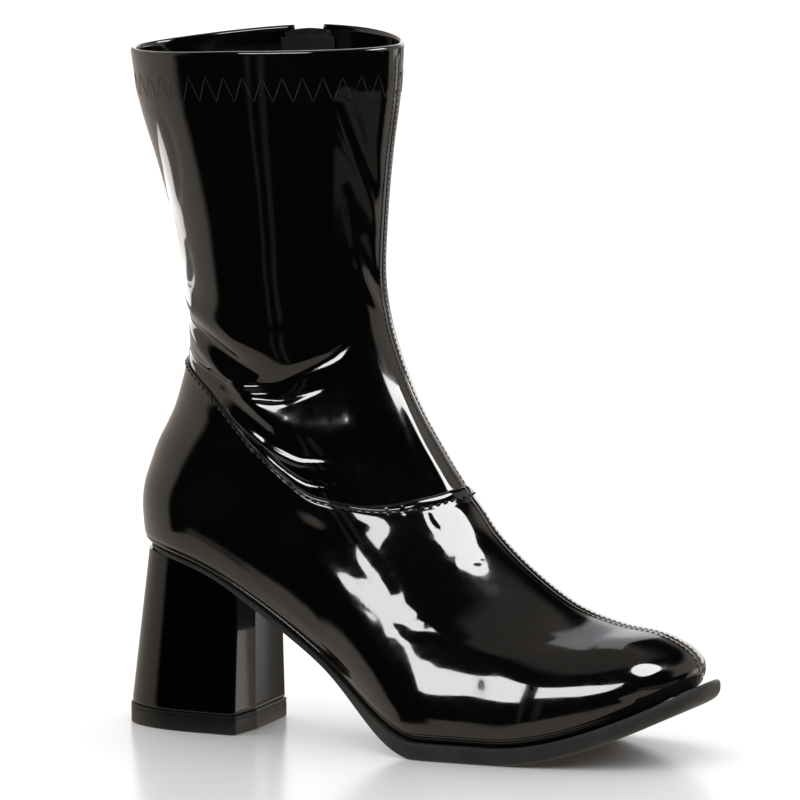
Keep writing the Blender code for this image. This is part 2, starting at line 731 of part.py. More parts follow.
def make_slider():
    """Slider: channel over the chain, two lugs and the bar between them."""
    frame = slider_frame()
    half = SLIDER_BREADTH / 2.0
    room = CHAIN_BREADTH / 2.0 + FIT_GAP
    drop = CHAIN_THICK
    outline = ((-half, SLIDER_PLATE), (half, SLIDER_PLATE), (half, -drop), (room, -drop),
               (room, 0.0), (-room, 0.0), (-room, -drop), (-half, -drop))
    vertices = []
    for y in (-SLIDER_LENGTH / 2.0, SLIDER_LENGTH / 2.0):
        vertices.extend((x, y, z) for x, z in outline)
    count = len(outline)
    faces = [tuple(range(count)), tuple(range(count, 2 * count))]
    for c in range(count):
        d = (c + 1) % count
        faces.append((c, d, count + d, count + c))
    moved = [frame @ Vector(v) for v in vertices]
    slider = new_object("zip_slider", moved, faces, (0.02, 0.02, 0.022), 0.3, 0.6)
    for face in slider.data.polygons:
        face.use_smooth = False

    reach = PULL_BREADTH / 2.0 + BAR_GAP + LUG_THICK / 2.0
    height = SLIDER_PLATE + BAR_LIFT
    scale = Matrix.Scale(MM, 4)
    for side in (-1.0, 1.0):
        work = bmesh.new()
        low = SLIDER_PLATE - LUG_SINK
        high = height + LUG_OVER_BAR
        add_box(work, (LUG_THICK, LUG_LENGTH, high - low),
                (side * reach, 0.0, (high + low) / 2.0))
        bmesh.ops.transform(work, matrix=scale @ frame, verts=work.verts)
        add_boolean(slider, temporary("lug_%d" % (side > 0), work), "UNION")
    work = bmesh.new()
    bmesh.ops.create_cone(work, cap_ends=True, segments=12, radius1=BAR_RADIUS,
                          radius2=BAR_RADIUS, depth=2.0 * reach,
                          matrix=Matrix.Translation((0.0, 0.0, height))
                          @ Matrix.Rotation(math.pi / 2.0, 4, "Y"))
    bmesh.ops.transform(work, matrix=scale @ frame, verts=work.verts)
    add_boolean(slider, temporary("bar", work), "UNION")
    return slider


def make_pull():
    """Pull tab with its eye round the bar, hanging plumb at rest."""
    frame = slider_frame()
    height = SLIDER_PLATE + BAR_LIFT
    pivot = frame @ Vector((0.0, 0.0, height))
    bar = (frame.to_3x3() @ Vector((1.0, 0.0, 0.0))).normalized()
    down = Vector((0.0, 0.0, -1.0))
    down = (down - bar * down.dot(bar)).normalized()
    out = bar.cross(down) * -1.0
    if out.y < 0.0:
        out = out * -1.0
    up = down * -1.0
    hang = Matrix((bar, up, out)).transposed().to_4x4()
    hang.translation = pivot

    eye = 18
    inner = BAR_RADIUS + BAR_GAP
    half = PULL_BREADTH / 2.0
    vertices = []
    faces = []
    for x in (-half, half):
        for radius in (inner, EYE_RADIUS):
            for k in range(eye):
                lean = 2.0 * math.pi * k / eye
                vertices.append((x, radius * math.cos(lean), radius * math.sin(lean)))
    for k in range(eye):
        n = (k + 1) % eye
        faces.append((k, n, eye + n, eye + k))
        faces.append((2 * eye + k, 3 * eye + k, 3 * eye + n, 2 * eye + n))
        faces.append((k, 2 * eye + k, 2 * eye + n, n))
        faces.append((eye + k, eye + n, 3 * eye + n, 3 * eye + k))
    pull = new_object("zip_pull", [Vector(v) for v in vertices], faces,
                      (0.02, 0.02, 0.022), 0.3, 0.6)
    for face in pull.data.polygons:
        face.use_smooth = False
    local = Matrix.Scale(MM, 4)
    work = bmesh.new()
    start = -(inner + EYE_RADIUS) / 2.0
    add_box(work, (PULL_BREADTH, PULL_LENGTH + start, PULL_THICK),
            (0.0, (start - PULL_LENGTH) / 2.0, 0.0))
    bmesh.ops.bevel(work, geom=[e for e in work.edges if abs(
        (e.verts[0].co - e.verts[1].co).normalized().z) > 0.9
        and e.verts[0].co.y < start - EYE_RADIUS], offset=PULL_CORNER, segments=3,
        affect="EDGES")
    bmesh.ops.transform(work, matrix=local, verts=work.verts)
    tab = temporary("tab", work)
    add_boolean(pull, tab, "UNION")
    placed = Matrix.LocRotScale(hang.translation * MM, hang.to_quaternion(), None)
    pull.matrix_world = placed
    tab.matrix_world = placed
    return pull


def collection(name):
    """New collection under the scene."""
    made = bpy.data.collections.new(name)
    bpy.context.scene.collection.children.link(made)
    return made


for old in list(bpy.data.objects):
    bpy.data.objects.remove(old, do_unlink=True)
boot = collection("go_go_boot")
cutters = collection("cutters")
cutters.hide_render = True

make_upper()
make_outsole()
make_insole()
make_heel()
make_heel_tip()
make_zip_tape()
make_zip_teeth()
make_slider()
make_pull()
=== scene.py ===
"""Looks of the go go boot: glossy patent upper, seams, zip, sole and studio.

Lengths are millimetres, turned to metres by MM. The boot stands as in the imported
frame: +X to the toe, +Y to the inner side, origin under the middle of the heel.
"""
import math

import bmesh
import bpy
import numpy as np
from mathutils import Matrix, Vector


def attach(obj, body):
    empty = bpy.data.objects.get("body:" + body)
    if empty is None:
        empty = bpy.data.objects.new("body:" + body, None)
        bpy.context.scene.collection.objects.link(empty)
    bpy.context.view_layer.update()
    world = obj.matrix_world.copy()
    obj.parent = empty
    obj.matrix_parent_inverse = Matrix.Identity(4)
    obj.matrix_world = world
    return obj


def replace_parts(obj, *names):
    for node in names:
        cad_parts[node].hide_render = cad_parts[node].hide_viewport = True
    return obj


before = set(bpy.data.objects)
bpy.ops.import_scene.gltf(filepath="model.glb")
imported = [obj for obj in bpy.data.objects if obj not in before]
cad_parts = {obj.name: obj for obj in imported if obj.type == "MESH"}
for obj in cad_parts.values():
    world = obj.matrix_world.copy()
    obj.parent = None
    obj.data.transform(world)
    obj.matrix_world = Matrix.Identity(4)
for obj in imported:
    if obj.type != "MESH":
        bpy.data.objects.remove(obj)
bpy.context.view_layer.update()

MM = 0.001

# Camera, fitted to the photograph's angle.
AZIMUTH = 24.5
ELEVATION = 8.5
DISTANCE = 4.0
LENS = 435.6
LOOK_RIGHT = 0.08306
LOOK_UP = 0.1324

# Main sizes, as packed
LAST_LENGTH = 242.0
BALL_BREADTH = 88.0
HEEL_HEIGHT = 76.0
INSTEP_HEIGHT = 100.0
NECK_HEIGHT = 170.0
BOOT_HEIGHT = 284.0
COUNTER_BACK_X = -21.2
ANKLE_BREADTH = 67.3
COLLAR_BREADTH = 84.0
TOE_SPRING = 27.0
TOE_SWING = 6.0
WAIST_SWING = -2.5
WAIST_X = 85.0
WAIST_REACH = 38.0
COLLAR_LIFT = 3.0
SHAFT_WALL = 1.8
HEM_WALL = 2.4
FOOT_STEP = 0.7
HEM_START_ROW = 16.2
EDGE_ROUND = 3.0
LASTING_MARGIN = 9.0
FOLD_DEPTH = 2.2
TREAD_THICK = 7.2
WAIST_THICK = 3.4
SEAT_THICK = 2.6
WELT_SIDE = 2.2
WELT_TOE = 7.5
SEAT_INSET = 1.8
SOLE_EDGE_ROUND = 0.8
FLAT_BACK_X = 116.0
FLAT_FRONT_X = 150.0
TREAD_BACK_LAP = 8.0
TREAD_THIN_RUN = 48.0
TOE_THICKER = 0.8
SEAT_FRONT_X = 40.0
SEAT_RUN = 30.0
SEAT_EDGE_X = 45.0
WELT_BACK_X = 60.0
WELT_BACK_RUN = 50.0
WELT_TOE_X = 175.0
WELT_TOE_RUN = 45.0
TIP_THICK = 8.0
HEEL_BACK_X = -27.6
HEEL_FRONT_X = 28.0
HEEL_BREADTH = 51.0
HEEL_TOP_BACK_IN = 8.0
HEEL_TOP_SIDE_IN = 3.0
HEEL_SIDE_START_X = 12.0
BREAST_RIDGE = 1.8
BREAST_RIDGE_Y = -8.0
HEEL_CORNER = 2.0
TIP_OVERHANG = 0.5
TIP_EDGE = 0.5
ZIP_ROW_BOTTOM = 10.0
CHAIN_DROP = 2.0
FIT_GAP = 0.3
SOLE_GAP = 0.45
TAPE_GAP = 0.5
AROUND = 52

# Finer sizes of the looks
PATENT_THICK = 0.9
TURN_STEP = 0.004
ROW_STEP = 0.02
SEAM_WELT = 0.26
SEAM_WELT_OFF = 1.5
SEAM_WELT_WIDE = 0.8
SEAM_FURROW = 0.38
SEAM_FURROW_WIDE = 0.5
EDGE_FALL = 0.045
EDGE_BEAD = 0.22
STITCH_GROOVE = 0.30
HEM_STEP_ROW = 17.03
HEM_STEP = 0.16
ZIGZAG_ROW = 17.36
ZIGZAG_HALF = 0.245
ZIGZAG_PITCH = 4.1
ZIGZAG_PRESS = 0.10
FOLDED_EDGE = 0.9
LINING_THICK = 0.34
CROSS_PITCH = 3.4
FRONT_PITCH = 2.3
FRONT_STITCH_OFF = 1.9
ZIP_PITCH = 2.6
ZIP_STITCH_OFF = 2.3
TOE_EDGE_ROUND = 1.9
TOE_EDGE_X = 165.0
TOE_EDGE_RUN = 50.0
TOOTH_PITCH = 0.8

ROW_COLUMNS = ("front_x", "back_x", "front_h", "back_h", "sag", "heel", "waist",
               "ball", "back_cap", "front_cap", "pinch")
UPPER_ROWS = (
    (0.998, 0.003, 0.333, 0.039, 1.000, 0.570, 0.520, 0.955, 0.107, 0.26, 0.50),
    (1.001, 0.001, 0.375, 0.096, 0.950, 0.660, 0.640, 1.000, 0.122, 0.26, 0.50),
    (0.994, 0.000, 0.415, 0.181, 0.860, 0.700, 0.700, 1.000, 0.131, 0.25, 0.50),
    (0.972, 0.004, 0.458, 0.266, 0.760, 0.720, 0.735, 0.960, 0.143, 0.24, 0.50),
    (0.929, 0.015, 0.500, 0.356, 0.660, 0.730, 0.750, 0.890, 0.167, 0.27, 0.50),
    (0.863, 0.028, 0.525, 0.447, 0.570, 0.735, 0.760, 0.830, 0.199, 0.31, 0.50),
    (0.784, 0.045, 0.590, 0.532, 0.490, 0.740, 0.765, 0.790, 0.241, 0.36, 0.51),
    (0.706, 0.058, 0.718, 0.606, 0.440, 0.745, 0.765, 0.770, 0.299, 0.41, 0.51),
    (0.642, 0.069, 0.860, 0.697, 0.410, 0.750, 0.765, 0.765, 0.370, 0.46, 0.51),
    (0.600, 0.077, 0.995, 0.782, 0.400, 0.755, 0.765, 0.760, 0.450, 0.50, 0.52),
    (0.551, 0.081, 1.094, 0.862, 0.330, 0.774, 0.779, 0.774, 0.490, 0.50, 0.53),
    (0.501, 0.082, 1.198, 0.947, 0.220, 0.818, 0.818, 0.818, 0.500, 0.50, 0.54),
    (0.467, 0.078, 1.295, 1.027, 0.120, 0.885, 0.885, 0.885, 0.500, 0.50, 0.55),
    (0.443, 0.074, 1.391, 1.106, 0.050, 0.957, 0.957, 0.957, 0.500, 0.50, 0.56),
    (0.432, 0.069, 1.490, 1.195, 0.000, 1.000, 1.000, 1.000, 0.500, 0.50, 0.56),
    (0.436, 0.053, 1.626, 1.358, 0.000, 0.995, 0.995, 0.995, 0.500, 0.50, 0.56),
    (0.445, 0.027, 1.761, 1.549, 0.000, 0.989, 0.989, 0.989, 0.500, 0.50, 0.56),
    (0.458, -0.007, 1.896, 1.770, -0.020, 1.000, 1.000, 1.000, 0.500, 0.50, 0.55),
    (0.462, -0.022, 2.000, 1.956, -0.030, 1.000, 1.000, 1.000, 0.500, 0.50, 0.54),
)
SEAM_ROW = 9.0
ANKLE_ROW = 14.0
COLLAR_ROW = 18.0
STATION_HEEL = 0.20
OUTER_STATIONS = (0.36, 0.60)
INNER_STATIONS = (0.43, 0.69)
FOLDS = (
    (75.0, 11.3, 75.0, 0.42, -1.00, 1.10),
    (85.0, 10.4, 70.0, 0.36, 0.75, 0.90),
    (70.0, 12.3, 70.0, 0.45, 0.60, 0.80),
    (300.0, 11.2, 60.0, 0.42, -0.80, 0.90),
    (300.0, 10.4, 60.0, 0.36, 0.55, 0.70),
    (0.0, 12.2, 38.0, 0.50, -0.70, 0.20),
)
SLOT_MIDDLE = 1.5 * math.pi
SLOT_EDGE = math.radians(360.0 / AROUND)
SLOT_PACE = 42.0

# Creases of the soft patent. path: (degrees from the back by the outer side, row)
# points. wide: half-breadth in mm. deep: height in mm, minus for a trough.
CREASES = (
    # fold where the shaft sags over the heel cup
    (((8, 10.7), (22, 10.0), (38, 9.75), (55, 10.1), (71, 10.65), (86, 11.2), (101, 11.65),
      (118, 12.05), (132, 12.35), (146, 12.8), (156, 13.3)), 2.0, -1.3),
    (((56, 9.9), (70, 10.35), (84, 10.8), (98, 11.15), (112, 11.45), (124, 11.7)), 1.2, -0.75),
    (((58, 9.05), (66, 9.15), (76, 9.3), (88, 9.6), (100, 9.8), (112, 9.95)), 1.6, 1.0),
    (((66, 8.98), (80, 9.1), (95, 9.25), (110, 9.4)), 0.9, -0.6),
    (((167, 11.5), (166, 10.9), (164, 10.3), (164, 9.7), (162, 9.2)), 2.6, 0.6),
    # slack of the shaft's front
    (((134, 17.1), (140, 16.6), (147, 16.1), (157, 15.5), (168, 14.9)), 2.2, 0.5),
    (((140, 17.2), (148, 16.6), (158, 15.9), (170, 15.3)), 3.0, -0.5),
    (((144, 15.6), (147, 15.1), (150, 14.6), (154, 14.2)), 1.8, 0.4),
    (((150, 14.5), (158, 14.0), (168, 13.4), (176, 13.0)), 2.0, 0.5),
    (((156, 14.7), (166, 14.1), (175, 13.6)), 2.4, -0.45),
    # slack of the shaft's back
    (((50, 17.0), (54, 16.5), (52, 15.9), (45, 15.3)), 2.4, -0.35),
    (((28, 15.4), (30, 14.6), (27, 13.9)), 3.0, 0.4),
    (((44, 14.6), (46, 14.0), (42, 13.4)), 2.5, -0.35),
    (((40, 13.2), (42, 12.6), (37, 12.0)), 2.0, 0.3),
    # small wrinkles under the front end of the cross seam
    (((157, 8.85), (155, 8.6), (150, 8.34), (147, 8.1)), 0.9, -0.55),
    (((144, 8.95), (143, 8.6), (146, 8.35)), 0.8, -0.3),
    (((147, 7.6), (152, 7.55), (157, 7.65)), 0.8, -0.4),
    (((132, 8.6), (138, 8.1), (146, 7.9)), 2.0, 0.14),
    (((134, 7.7), (142, 7.5), (150, 7.9)), 2.2, 0.14),
    # waves along the vamp's outer side
    (((112, 6.9), (111, 6.4), (106, 6.1)), 2.6, -0.22),
    (((112, 5.6), (109, 5.2), (104, 4.9)), 2.8, 0.22),
    (((113, 4.6), (109, 4.3), (105, 4.3)), 3.2, -0.10),
    (((96, 6.0), (98, 5.0), (97, 4.2)), 3.0, 0.2),
    (((108, 2.95), (118, 2.1), (128, 2.1), (138, 2.1)), 6.0, 0.16),
    # fullness of the outer side under the cross seam
    (((76, 9.1), (90, 9.2), (104, 9.3), (116, 9.4), (130, 9.5)), 14.0, 2.2),
    (((84, 8.3), (96, 8.45), (110, 8.6), (122, 8.8), (134, 9.0)), 7.0, 1.1),
    (((114, 4.4), (112, 3.2), (108, 2.0), (104, 0.7)), 11.0, 0.6),
    # rounding of the toe's outer side
    (((158, 4.6), (156.5, 3.4), (155.5, 2.5), (154.2, 1.9), (153.5, 1.2), (153, 0.5)), 9.0, 1.2),
)

# Line of the cross seam: row by degrees from the back, the same on both sides.
SEAM_LINE = ((0, 9.35), (16, 9.22), (47, 9.0), (61, 8.72), (70, 8.55), (82, 8.68), (92, 8.74),
             (108, 8.80), (124, 8.93), (142, 9.07), (164, 9.14), (180, 9.15))
SEAM_EDGE = 0.2


def smooth(value):
    """Ease from 0 to 1 with level ends."""
    value = np.clip(value, 0.0, 1.0)
    return value * value * (3.0 - 2.0 * value)


def unit(vectors):
    """Vectors at length one."""
    return vectors / np.linalg.norm(vectors, axis=-1, keepdims=True)


def through(table, place):
    """Smooth curve through the rows of a table, by row number."""
    last = len(table) - 1
    base = np.clip(np.floor(place), 0, last - 1).astype(int)
    part = (place - base)[..., None]
    before = np.where((base > 0)[..., None], table[np.maximum(base - 1, 0)],
                      2.0 * table[0] - table[1])
    after = np.where((base < last - 1)[..., None], table[np.minimum(base + 2, last)],
                     2.0 * table[last] - table[last - 1])
    here = table[base]
    there = table[base + 1]
    pull = 2.0 * before - 5.0 * here + 4.0 * there - after
    turn = 3.0 * (here - there) + after - before
    return here + 0.5 * part * ((there - before) + part * (pull + part * turn))


def feather_height(along):
    """Height of the line where upper and outsole meet."""
    back = (FLAT_BACK_X - along) / (FLAT_BACK_X - COUNTER_BACK_X)
    arch = (HEEL_HEIGHT - TREAD_THICK) * smooth(np.maximum(back, 0.0) ** 0.8)
    toe_x = COUNTER_BACK_X + LAST_LENGTH + WELT_TOE
    front = np.maximum((along - FLAT_FRONT_X) / (toe_x - FLAT_FRONT_X), 0.0)
    return TREAD_THICK + arch + TOE_SPRING * front ** 1.7


def sole_thickness(along):
    """Thickness of the outsole from tread to seat."""
    waist = smooth((FLAT_BACK_X - TREAD_BACK_LAP - along) / TREAD_THIN_RUN)
    seat = smooth((SEAT_FRONT_X - along) / SEAT_RUN)
    toe_end = COUNTER_BACK_X + LAST_LENGTH
    front = smooth((along - FLAT_FRONT_X) / (toe_end - FLAT_FRONT_X))
    thick = TREAD_THICK + (WAIST_THICK - TREAD_THICK) * waist
    return thick + (SEAT_THICK - WAIST_THICK) * seat + TOE_THICKER * front


def spine(along, sag):
    """Sideways swing of the last's centre line."""
    toe_end = COUNTER_BACK_X + LAST_LENGTH
    reach = (along - FLAT_BACK_X) / (toe_end - FLAT_BACK_X)
    toe = TOE_SWING * np.clip(reach, 0.0, 1.2) ** 1.6
    waist = WAIST_SWING * np.exp(-((along - WAIST_X) / WAIST_REACH) ** 2)
    return toe + waist * sag


def rise(share, low, middle, top):
    """Height from a share that runs 0 to 1 below and 1 to 2 above the middle."""
    lower = np.minimum(share, 1.0) * (middle - low)
    upper = np.maximum(share - 1.0, 0.0) * (top - middle)
    return low + lower + upper


def size_across(row):
    """Named breadth that a row's shares follow: ball, then ankle, then collar."""
    to_ankle = smooth((row - SEAM_ROW) / (ANKLE_ROW - SEAM_ROW))
    to_collar = smooth((row - ANKLE_ROW) / (COLLAR_ROW - ANKLE_ROW))
    size = BALL_BREADTH + (ANKLE_BREADTH - BALL_BREADTH) * to_ankle
    return size + (COLLAR_BREADTH - ANKLE_BREADTH) * to_collar


def breadth(share, outer_side, heel, waist, ball):
    """Share of the half-breadth, eased through heel, waist and ball of one side."""
    at_waist = np.where(outer_side, OUTER_STATIONS[0], INNER_STATIONS[0])
    at_ball = np.where(outer_side, OUTER_STATIONS[1], INNER_STATIONS[1])
    first = smooth((share - STATION_HEEL) / (at_waist - STATION_HEEL))
    second = smooth((share - at_waist) / (at_ball - at_waist))
    return heel + (waist - heel) * first + (ball - waist) * second


def fold_relief(angle, row):
    """Height of the ankle folds over the plain surface."""
    total = np.zeros(np.broadcast(angle, row).shape)
    degrees = np.degrees(angle)
    for middle, level, reach, wide, depth, bow in FOLDS:
        off = (degrees - middle + 180.0) % 360.0 - 180.0
        near = np.clip(1.0 - (off / reach) ** 2, 0.0, 1.0)
        line = level + bow * (off / reach) ** 2
        total = total + depth * near ** 1.5 * np.exp(-((row - line) / wide) ** 2)
    return total * FOLD_DEPTH


def plain_surface(angle, row):
    """Outer face of the upper without folds or steps."""
    angle, row = np.broadcast_arrays(np.asarray(angle, float), np.asarray(row, float))
    values = through(np.array(UPPER_ROWS), row)
    named = {name: values[..., k] for k, name in enumerate(ROW_COLUMNS)}
    share = (1.0 - np.cos(angle)) / 2.0
    back_x = COUNTER_BACK_X + named["back_x"] * LAST_LENGTH
    front_x = COUNTER_BACK_X + named["front_x"] * LAST_LENGTH
    back_z = rise(named["back_h"], HEEL_HEIGHT, NECK_HEIGHT, BOOT_HEIGHT)
    front_z = rise(named["front_h"], 0.0, INSTEP_HEIGHT, BOOT_HEIGHT)
    along = back_x + (front_x - back_x) * share
    ends = feather_height(np.array([COUNTER_BACK_X, COUNTER_BACK_X + LAST_LENGTH]))
    straight = ends[0] + (ends[1] - ends[0]) * share
    dip = feather_height(COUNTER_BACK_X + LAST_LENGTH * share) - straight
    height = back_z + (front_z - back_z) * share + named["sag"] * dip
    outer_side = np.sin(angle) > 0.0
    half = breadth(share, outer_side, named["heel"], named["waist"], named["ball"])
    half = half * size_across(row) / 2.0
    from_back = np.clip(share / named["back_cap"], 0.0, 1.0)
    from_front = np.clip((1.0 - share) / named["front_cap"], 0.0, 1.0)
    half = half * np.sqrt(from_back * (2.0 - from_back))
    half = half * (from_front * (2.0 - from_front)) ** named["pinch"]
    across = spine(along, named["sag"]) - half * np.sign(np.sin(angle))
    inner_top = np.clip(-np.sin(angle), 0.0, 1.0) ** 2 * smooth(row - COLLAR_ROW + 1.5)
    height = height + COLLAR_LIFT * inner_top
    level = feather_height(along) + EDGE_ROUND + FOOT_STEP
    height = height + (level - height) * (1.0 - smooth(row))
    return np.stack([along, across, height], -1)


def normals(angle, row):
    """Outward unit normals of the plain outer face."""
    round_way = plain_surface(angle + TURN_STEP, row) - plain_surface(angle - TURN_STEP, row)
    low = np.maximum(row - ROW_STEP, 0.0)
    high = np.minimum(row + ROW_STEP, COLLAR_ROW)
    return unit(np.cross(round_way, plain_surface(angle, high) - plain_surface(angle, low)))


def wall(row):
    """Wall thickness below the outer face, doubled at the hem."""
    return SHAFT_WALL + (HEM_WALL - SHAFT_WALL) * smooth((row - HEM_START_ROW) / 0.25)


def curve_points(path, count=36):
    """Smooth run of (degrees, row) points through a short path."""
    table = np.array(path, float)
    if len(table) == 2:
        place = np.linspace(0.0, 1.0, count)[:, None]
        return table[0] + (table[1] - table[0]) * place
    return through(table, np.linspace(0.0, len(table) - 1.0, count))


def seam_row(angle):
    """Row of the cross seam's stitches."""
    table = np.array(SEAM_LINE, float)
    degrees = np.degrees(angle) % 360.0
    degrees = np.minimum(degrees, 360.0 - degrees)
    return np.interp(degrees, table[:, 0], table[:, 1])


def crease_relief(points):
    """Height of the creases at surface points, by distance from their lines."""
    total = np.zeros(points.shape[:-1])
    for path, wide, deep in CREASES:
        line = curve_points(path)
        spots = plain_surface(np.radians(line[:, 0]), line[:, 1])
        low = spots.min(0) - 4.0 * wide
        high = spots.max(0) + 4.0 * wide
        near = ((points > low) & (points < high)).all(-1)
        if not near.any():
            continue
        some = points[near]
        best = np.full(len(some), 1e9)
        share = np.zeros(len(some))
        for k in range(len(spots) - 1):
            a = spots[k]
            arm = spots[k + 1] - a
            t = np.clip(((some - a) @ arm) / (arm @ arm), 0.0, 1.0)
            d = np.linalg.norm(some - a - t[:, None] * arm, axis=1)
            closer = d < best
            best = np.where(closer, d, best)
            share = np.where(closer, (k + t) / (len(spots) - 1.0), share)
        ends = np.clip(4.0 * share * (1.0 - share), 0.0, 1.0) ** 0.7
        total[near] += deep * ends * np.exp(-(best / wide) ** 2)
    return total


def relief(angle, row, plain):
    """Folds and creases together."""
    return fold_relief(angle, row) + crease_relief(plain)


def face_grid(turn, rows, shifted=None):
    """Outer face on a grid: points, unit normals of the plain form."""
    grid_turn, grid_row = np.meshgrid(turn, rows)
    if shifted is not None:
        grid_row = shifted
    plain = plain_surface(grid_turn, grid_row)
    out = normals(grid_turn, grid_row)
    lift = relief(grid_turn, grid_row, plain)
    centre = plain_surface(np.full_like(grid_row, math.pi), grid_row)[..., 1]
    off = np.abs(plain[..., 1] - centre)
    ahead = np.cos(grid_turn) < -0.3
    welt = SEAM_WELT * np.exp(-((off - SEAM_WELT_OFF) / SEAM_WELT_WIDE) ** 2)
    welt = welt - SEAM_FURROW * np.exp(-(off / SEAM_FURROW_WIDE) ** 2)
    behind = np.cos(grid_turn) > 0.6
    fade = smooth((COLLAR_ROW - 0.1 - grid_row) / 0.2)
    lift = lift + np.where(ahead | behind, welt, 0.0) * fade
    return plain + out * lift[..., None], out


def new_piece(name, vertices, faces, material, body="boot", flat=False):
    """Piece from millimetre vertices, outward faces, riding on its body."""
    mesh = bpy.data.meshes.new(name)
    mesh.from_pydata([tuple(v) for v in vertices], [], faces)
    work = bmesh.new()
    work.from_mesh(mesh)
    bmesh.ops.remove_doubles(work, verts=work.verts, dist=0.005)
    bmesh.ops.recalc_face_normals(work, faces=work.faces)
    bmesh.ops.scale(work, vec=Vector((MM, MM, MM)), verts=work.verts)
    work.to_mesh(mesh)
    work.free()
    for face in mesh.polygons:
        face.use_smooth = not flat
    mesh.materials.append(material)
    made = bpy.data.objects.new(name, mesh)
    bpy.context.scene.collection.objects.link(made)
    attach(made, body)
    return made


def shell(outer, inner, wrap, left_out=None):
    """Vertices and faces of a closed shell between two grids of points."""
    rows, columns = outer.shape[:2]
    cells = columns if wrap else columns - 1
    vertices = np.concatenate([outer.reshape(-1, 3), inner.reshape(-1, 3)])
    shift = rows * columns
    keep = np.ones((rows - 1, cells), bool)
    if left_out is not None:
        r, c = np.meshgrid(np.arange(rows - 1), np.arange(cells), indexing="ij")
        keep = ~left_out(r, c)

    def kept(r, c):
        if not 0 <= r < rows - 1:
            return False
        if wrap:
            c = c % columns
        elif not 0 <= c < cells:
            return False
        return bool(keep[r, c])

    faces = []
    for r in range(rows - 1):
        for c in range(cells):
            if not keep[r, c]:
                continue
            a = r * columns + c
            b = r * columns + (c + 1) % columns
            d = a + columns
            e = b + columns
            faces.append((a, b, e, d))
            faces.append((shift + a, shift + d, shift + e, shift + b))
            for free, p, q in ((not kept(r - 1, c), a, b), (not kept(r + 1, c), e, d),
                               (not kept(r, c - 1), d, a), (not kept(r, c + 1), b, e)):
                if free:
                    faces.append((p, shift + p, shift + q, q))
    used = np.unique(np.array([k for face in faces for k in face]))
    place = np.zeros(len(vertices), int)
    place[used] = np.arange(len(used))
    faces = [tuple(int(place[k]) for k in face) for face in faces]
    return vertices[used], faces


def ring_faces(count, rings, start=0):
    """Quads between stacked rings of the same count."""
    faces = []
    for low in range(start, start + (rings - 1) * count, count):
        for c in range(count):
            d = (c + 1) % count
            faces.append((low + c, low + d, low + count + d, low + count + c))
    return faces


def columns_with_slot(count):
    """Angles of the columns, closer together at the slot's edges."""
    turn = list(np.arange(count) * 2.0 * math.pi / count)
    for side in (-1.0, 1.0):
        for more in (0.15, 0.4, 0.8):
            turn.append(SLOT_MIDDLE + side * (SLOT_EDGE + math.radians(more)))
    return np.array(sorted(turn))


def slot_roll(turn):
    """Depth by which the folded edges of the slot turn in, by distance."""
    off = np.abs(turn - SLOT_MIDDLE) - SLOT_EDGE
    inside = np.clip(FOLDED_EDGE - np.abs(off) * SLOT_PACE, 0.0, FOLDED_EDGE)
    depth = FOLDED_EDGE - np.sqrt(np.maximum(FOLDED_EDGE ** 2 - inside ** 2, 0.0))
    return np.where(off > -1e-6, depth, 0.0)


def slot_cut(rows, turn):
    """Test that leaves the cells of the zip's slot out of a shell."""
    first = int(np.searchsorted(rows, ZIP_ROW_BOTTOM))
    centre = (turn + np.roll(turn, -1)) / 2.0
    in_slot = np.abs(centre - SLOT_MIDDLE) < SLOT_EDGE
    return lambda r, c: (r >= first) & in_slot[c]


# Materials

def material(name, colour, roughness, metallic=0.0, coat=0.0, coat_rough=0.03):
    """Principled material and its node tree, ready for detail."""
    made = bpy.data.materials.new(name)
    made.use_nodes = True
    shader = made.node_tree.nodes["Principled BSDF"]
    shader.inputs["Base Color"].default_value = (*colour, 1.0)
    shader.inputs["Roughness"].default_value = roughness
    shader.inputs["Metallic"].default_value = metallic
    shader.inputs["Coat Weight"].default_value = coat
    shader.inputs["Coat Roughness"].default_value = coat_rough
    return made, made.node_tree, shader


def coordinates(tree):
    """Object coordinates in metres."""
    return tree.nodes.new("ShaderNodeTexCoord").outputs["Object"]


def noise(tree, place, scale, detail=3.0, rough=0.5):
    """Noise of a given scale per metre."""
    node = tree.nodes.new("ShaderNodeTexNoise")
    node.inputs["Scale"].default_value = scale
    node.inputs["Detail"].default_value = detail
    node.inputs["Roughness"].default_value = rough
    tree.links.new(place, node.inputs["Vector"])
    return node.outputs["Fac"]


def spread(tree, value, low, high, from_low=0.3, from_high=0.7):
    """Map a factor to a range."""
    node = tree.nodes.new("ShaderNodeMapRange")
    node.inputs["From Min"].default_value = from_low
    node.inputs["From Max"].default_value = from_high
    node.inputs["To Min"].default_value = low
    node.inputs["To Max"].default_value = high
    tree.links.new(value, node.inputs["Value"])
    return node.outputs["Result"]


def ramp(tree, value, stops):
    """Colour ramp with a few named stops."""
    node = tree.nodes.new("ShaderNodeValToRGB")
    marks = node.color_ramp.elements
    marks[0].position = stops[0][0]
    marks[0].color = (*stops[0][1], 1.0)
    marks[1].position = stops[-1][0]
    marks[1].color = (*stops[-1][1], 1.0)
    for place, colour in stops[1:-1]:
        mark = marks.new(place)
        mark.color = (*colour, 1.0)
    tree.links.new(value, node.inputs["Fac"])
    return node.outputs["Color"]


def bump(tree, shader, layers, coat=False):
    """Bump from several (height, distance in metres, strength) layers."""
    last = None
    for height, distance, strength in layers:
        node = tree.nodes.new("ShaderNodeBump")
        node.inputs["Distance"].default_value = distance
        node.inputs["Strength"].default_value = strength
        tree.links.new(height, node.inputs["Height"])
        if last is not None:
            tree.links.new(last, node.inputs["Normal"])
        last = node.outputs["Normal"]
    tree.links.new(last, shader.inputs["Normal"])
    if coat:
        tree.links.new(last, shader.inputs["Coat Normal"])


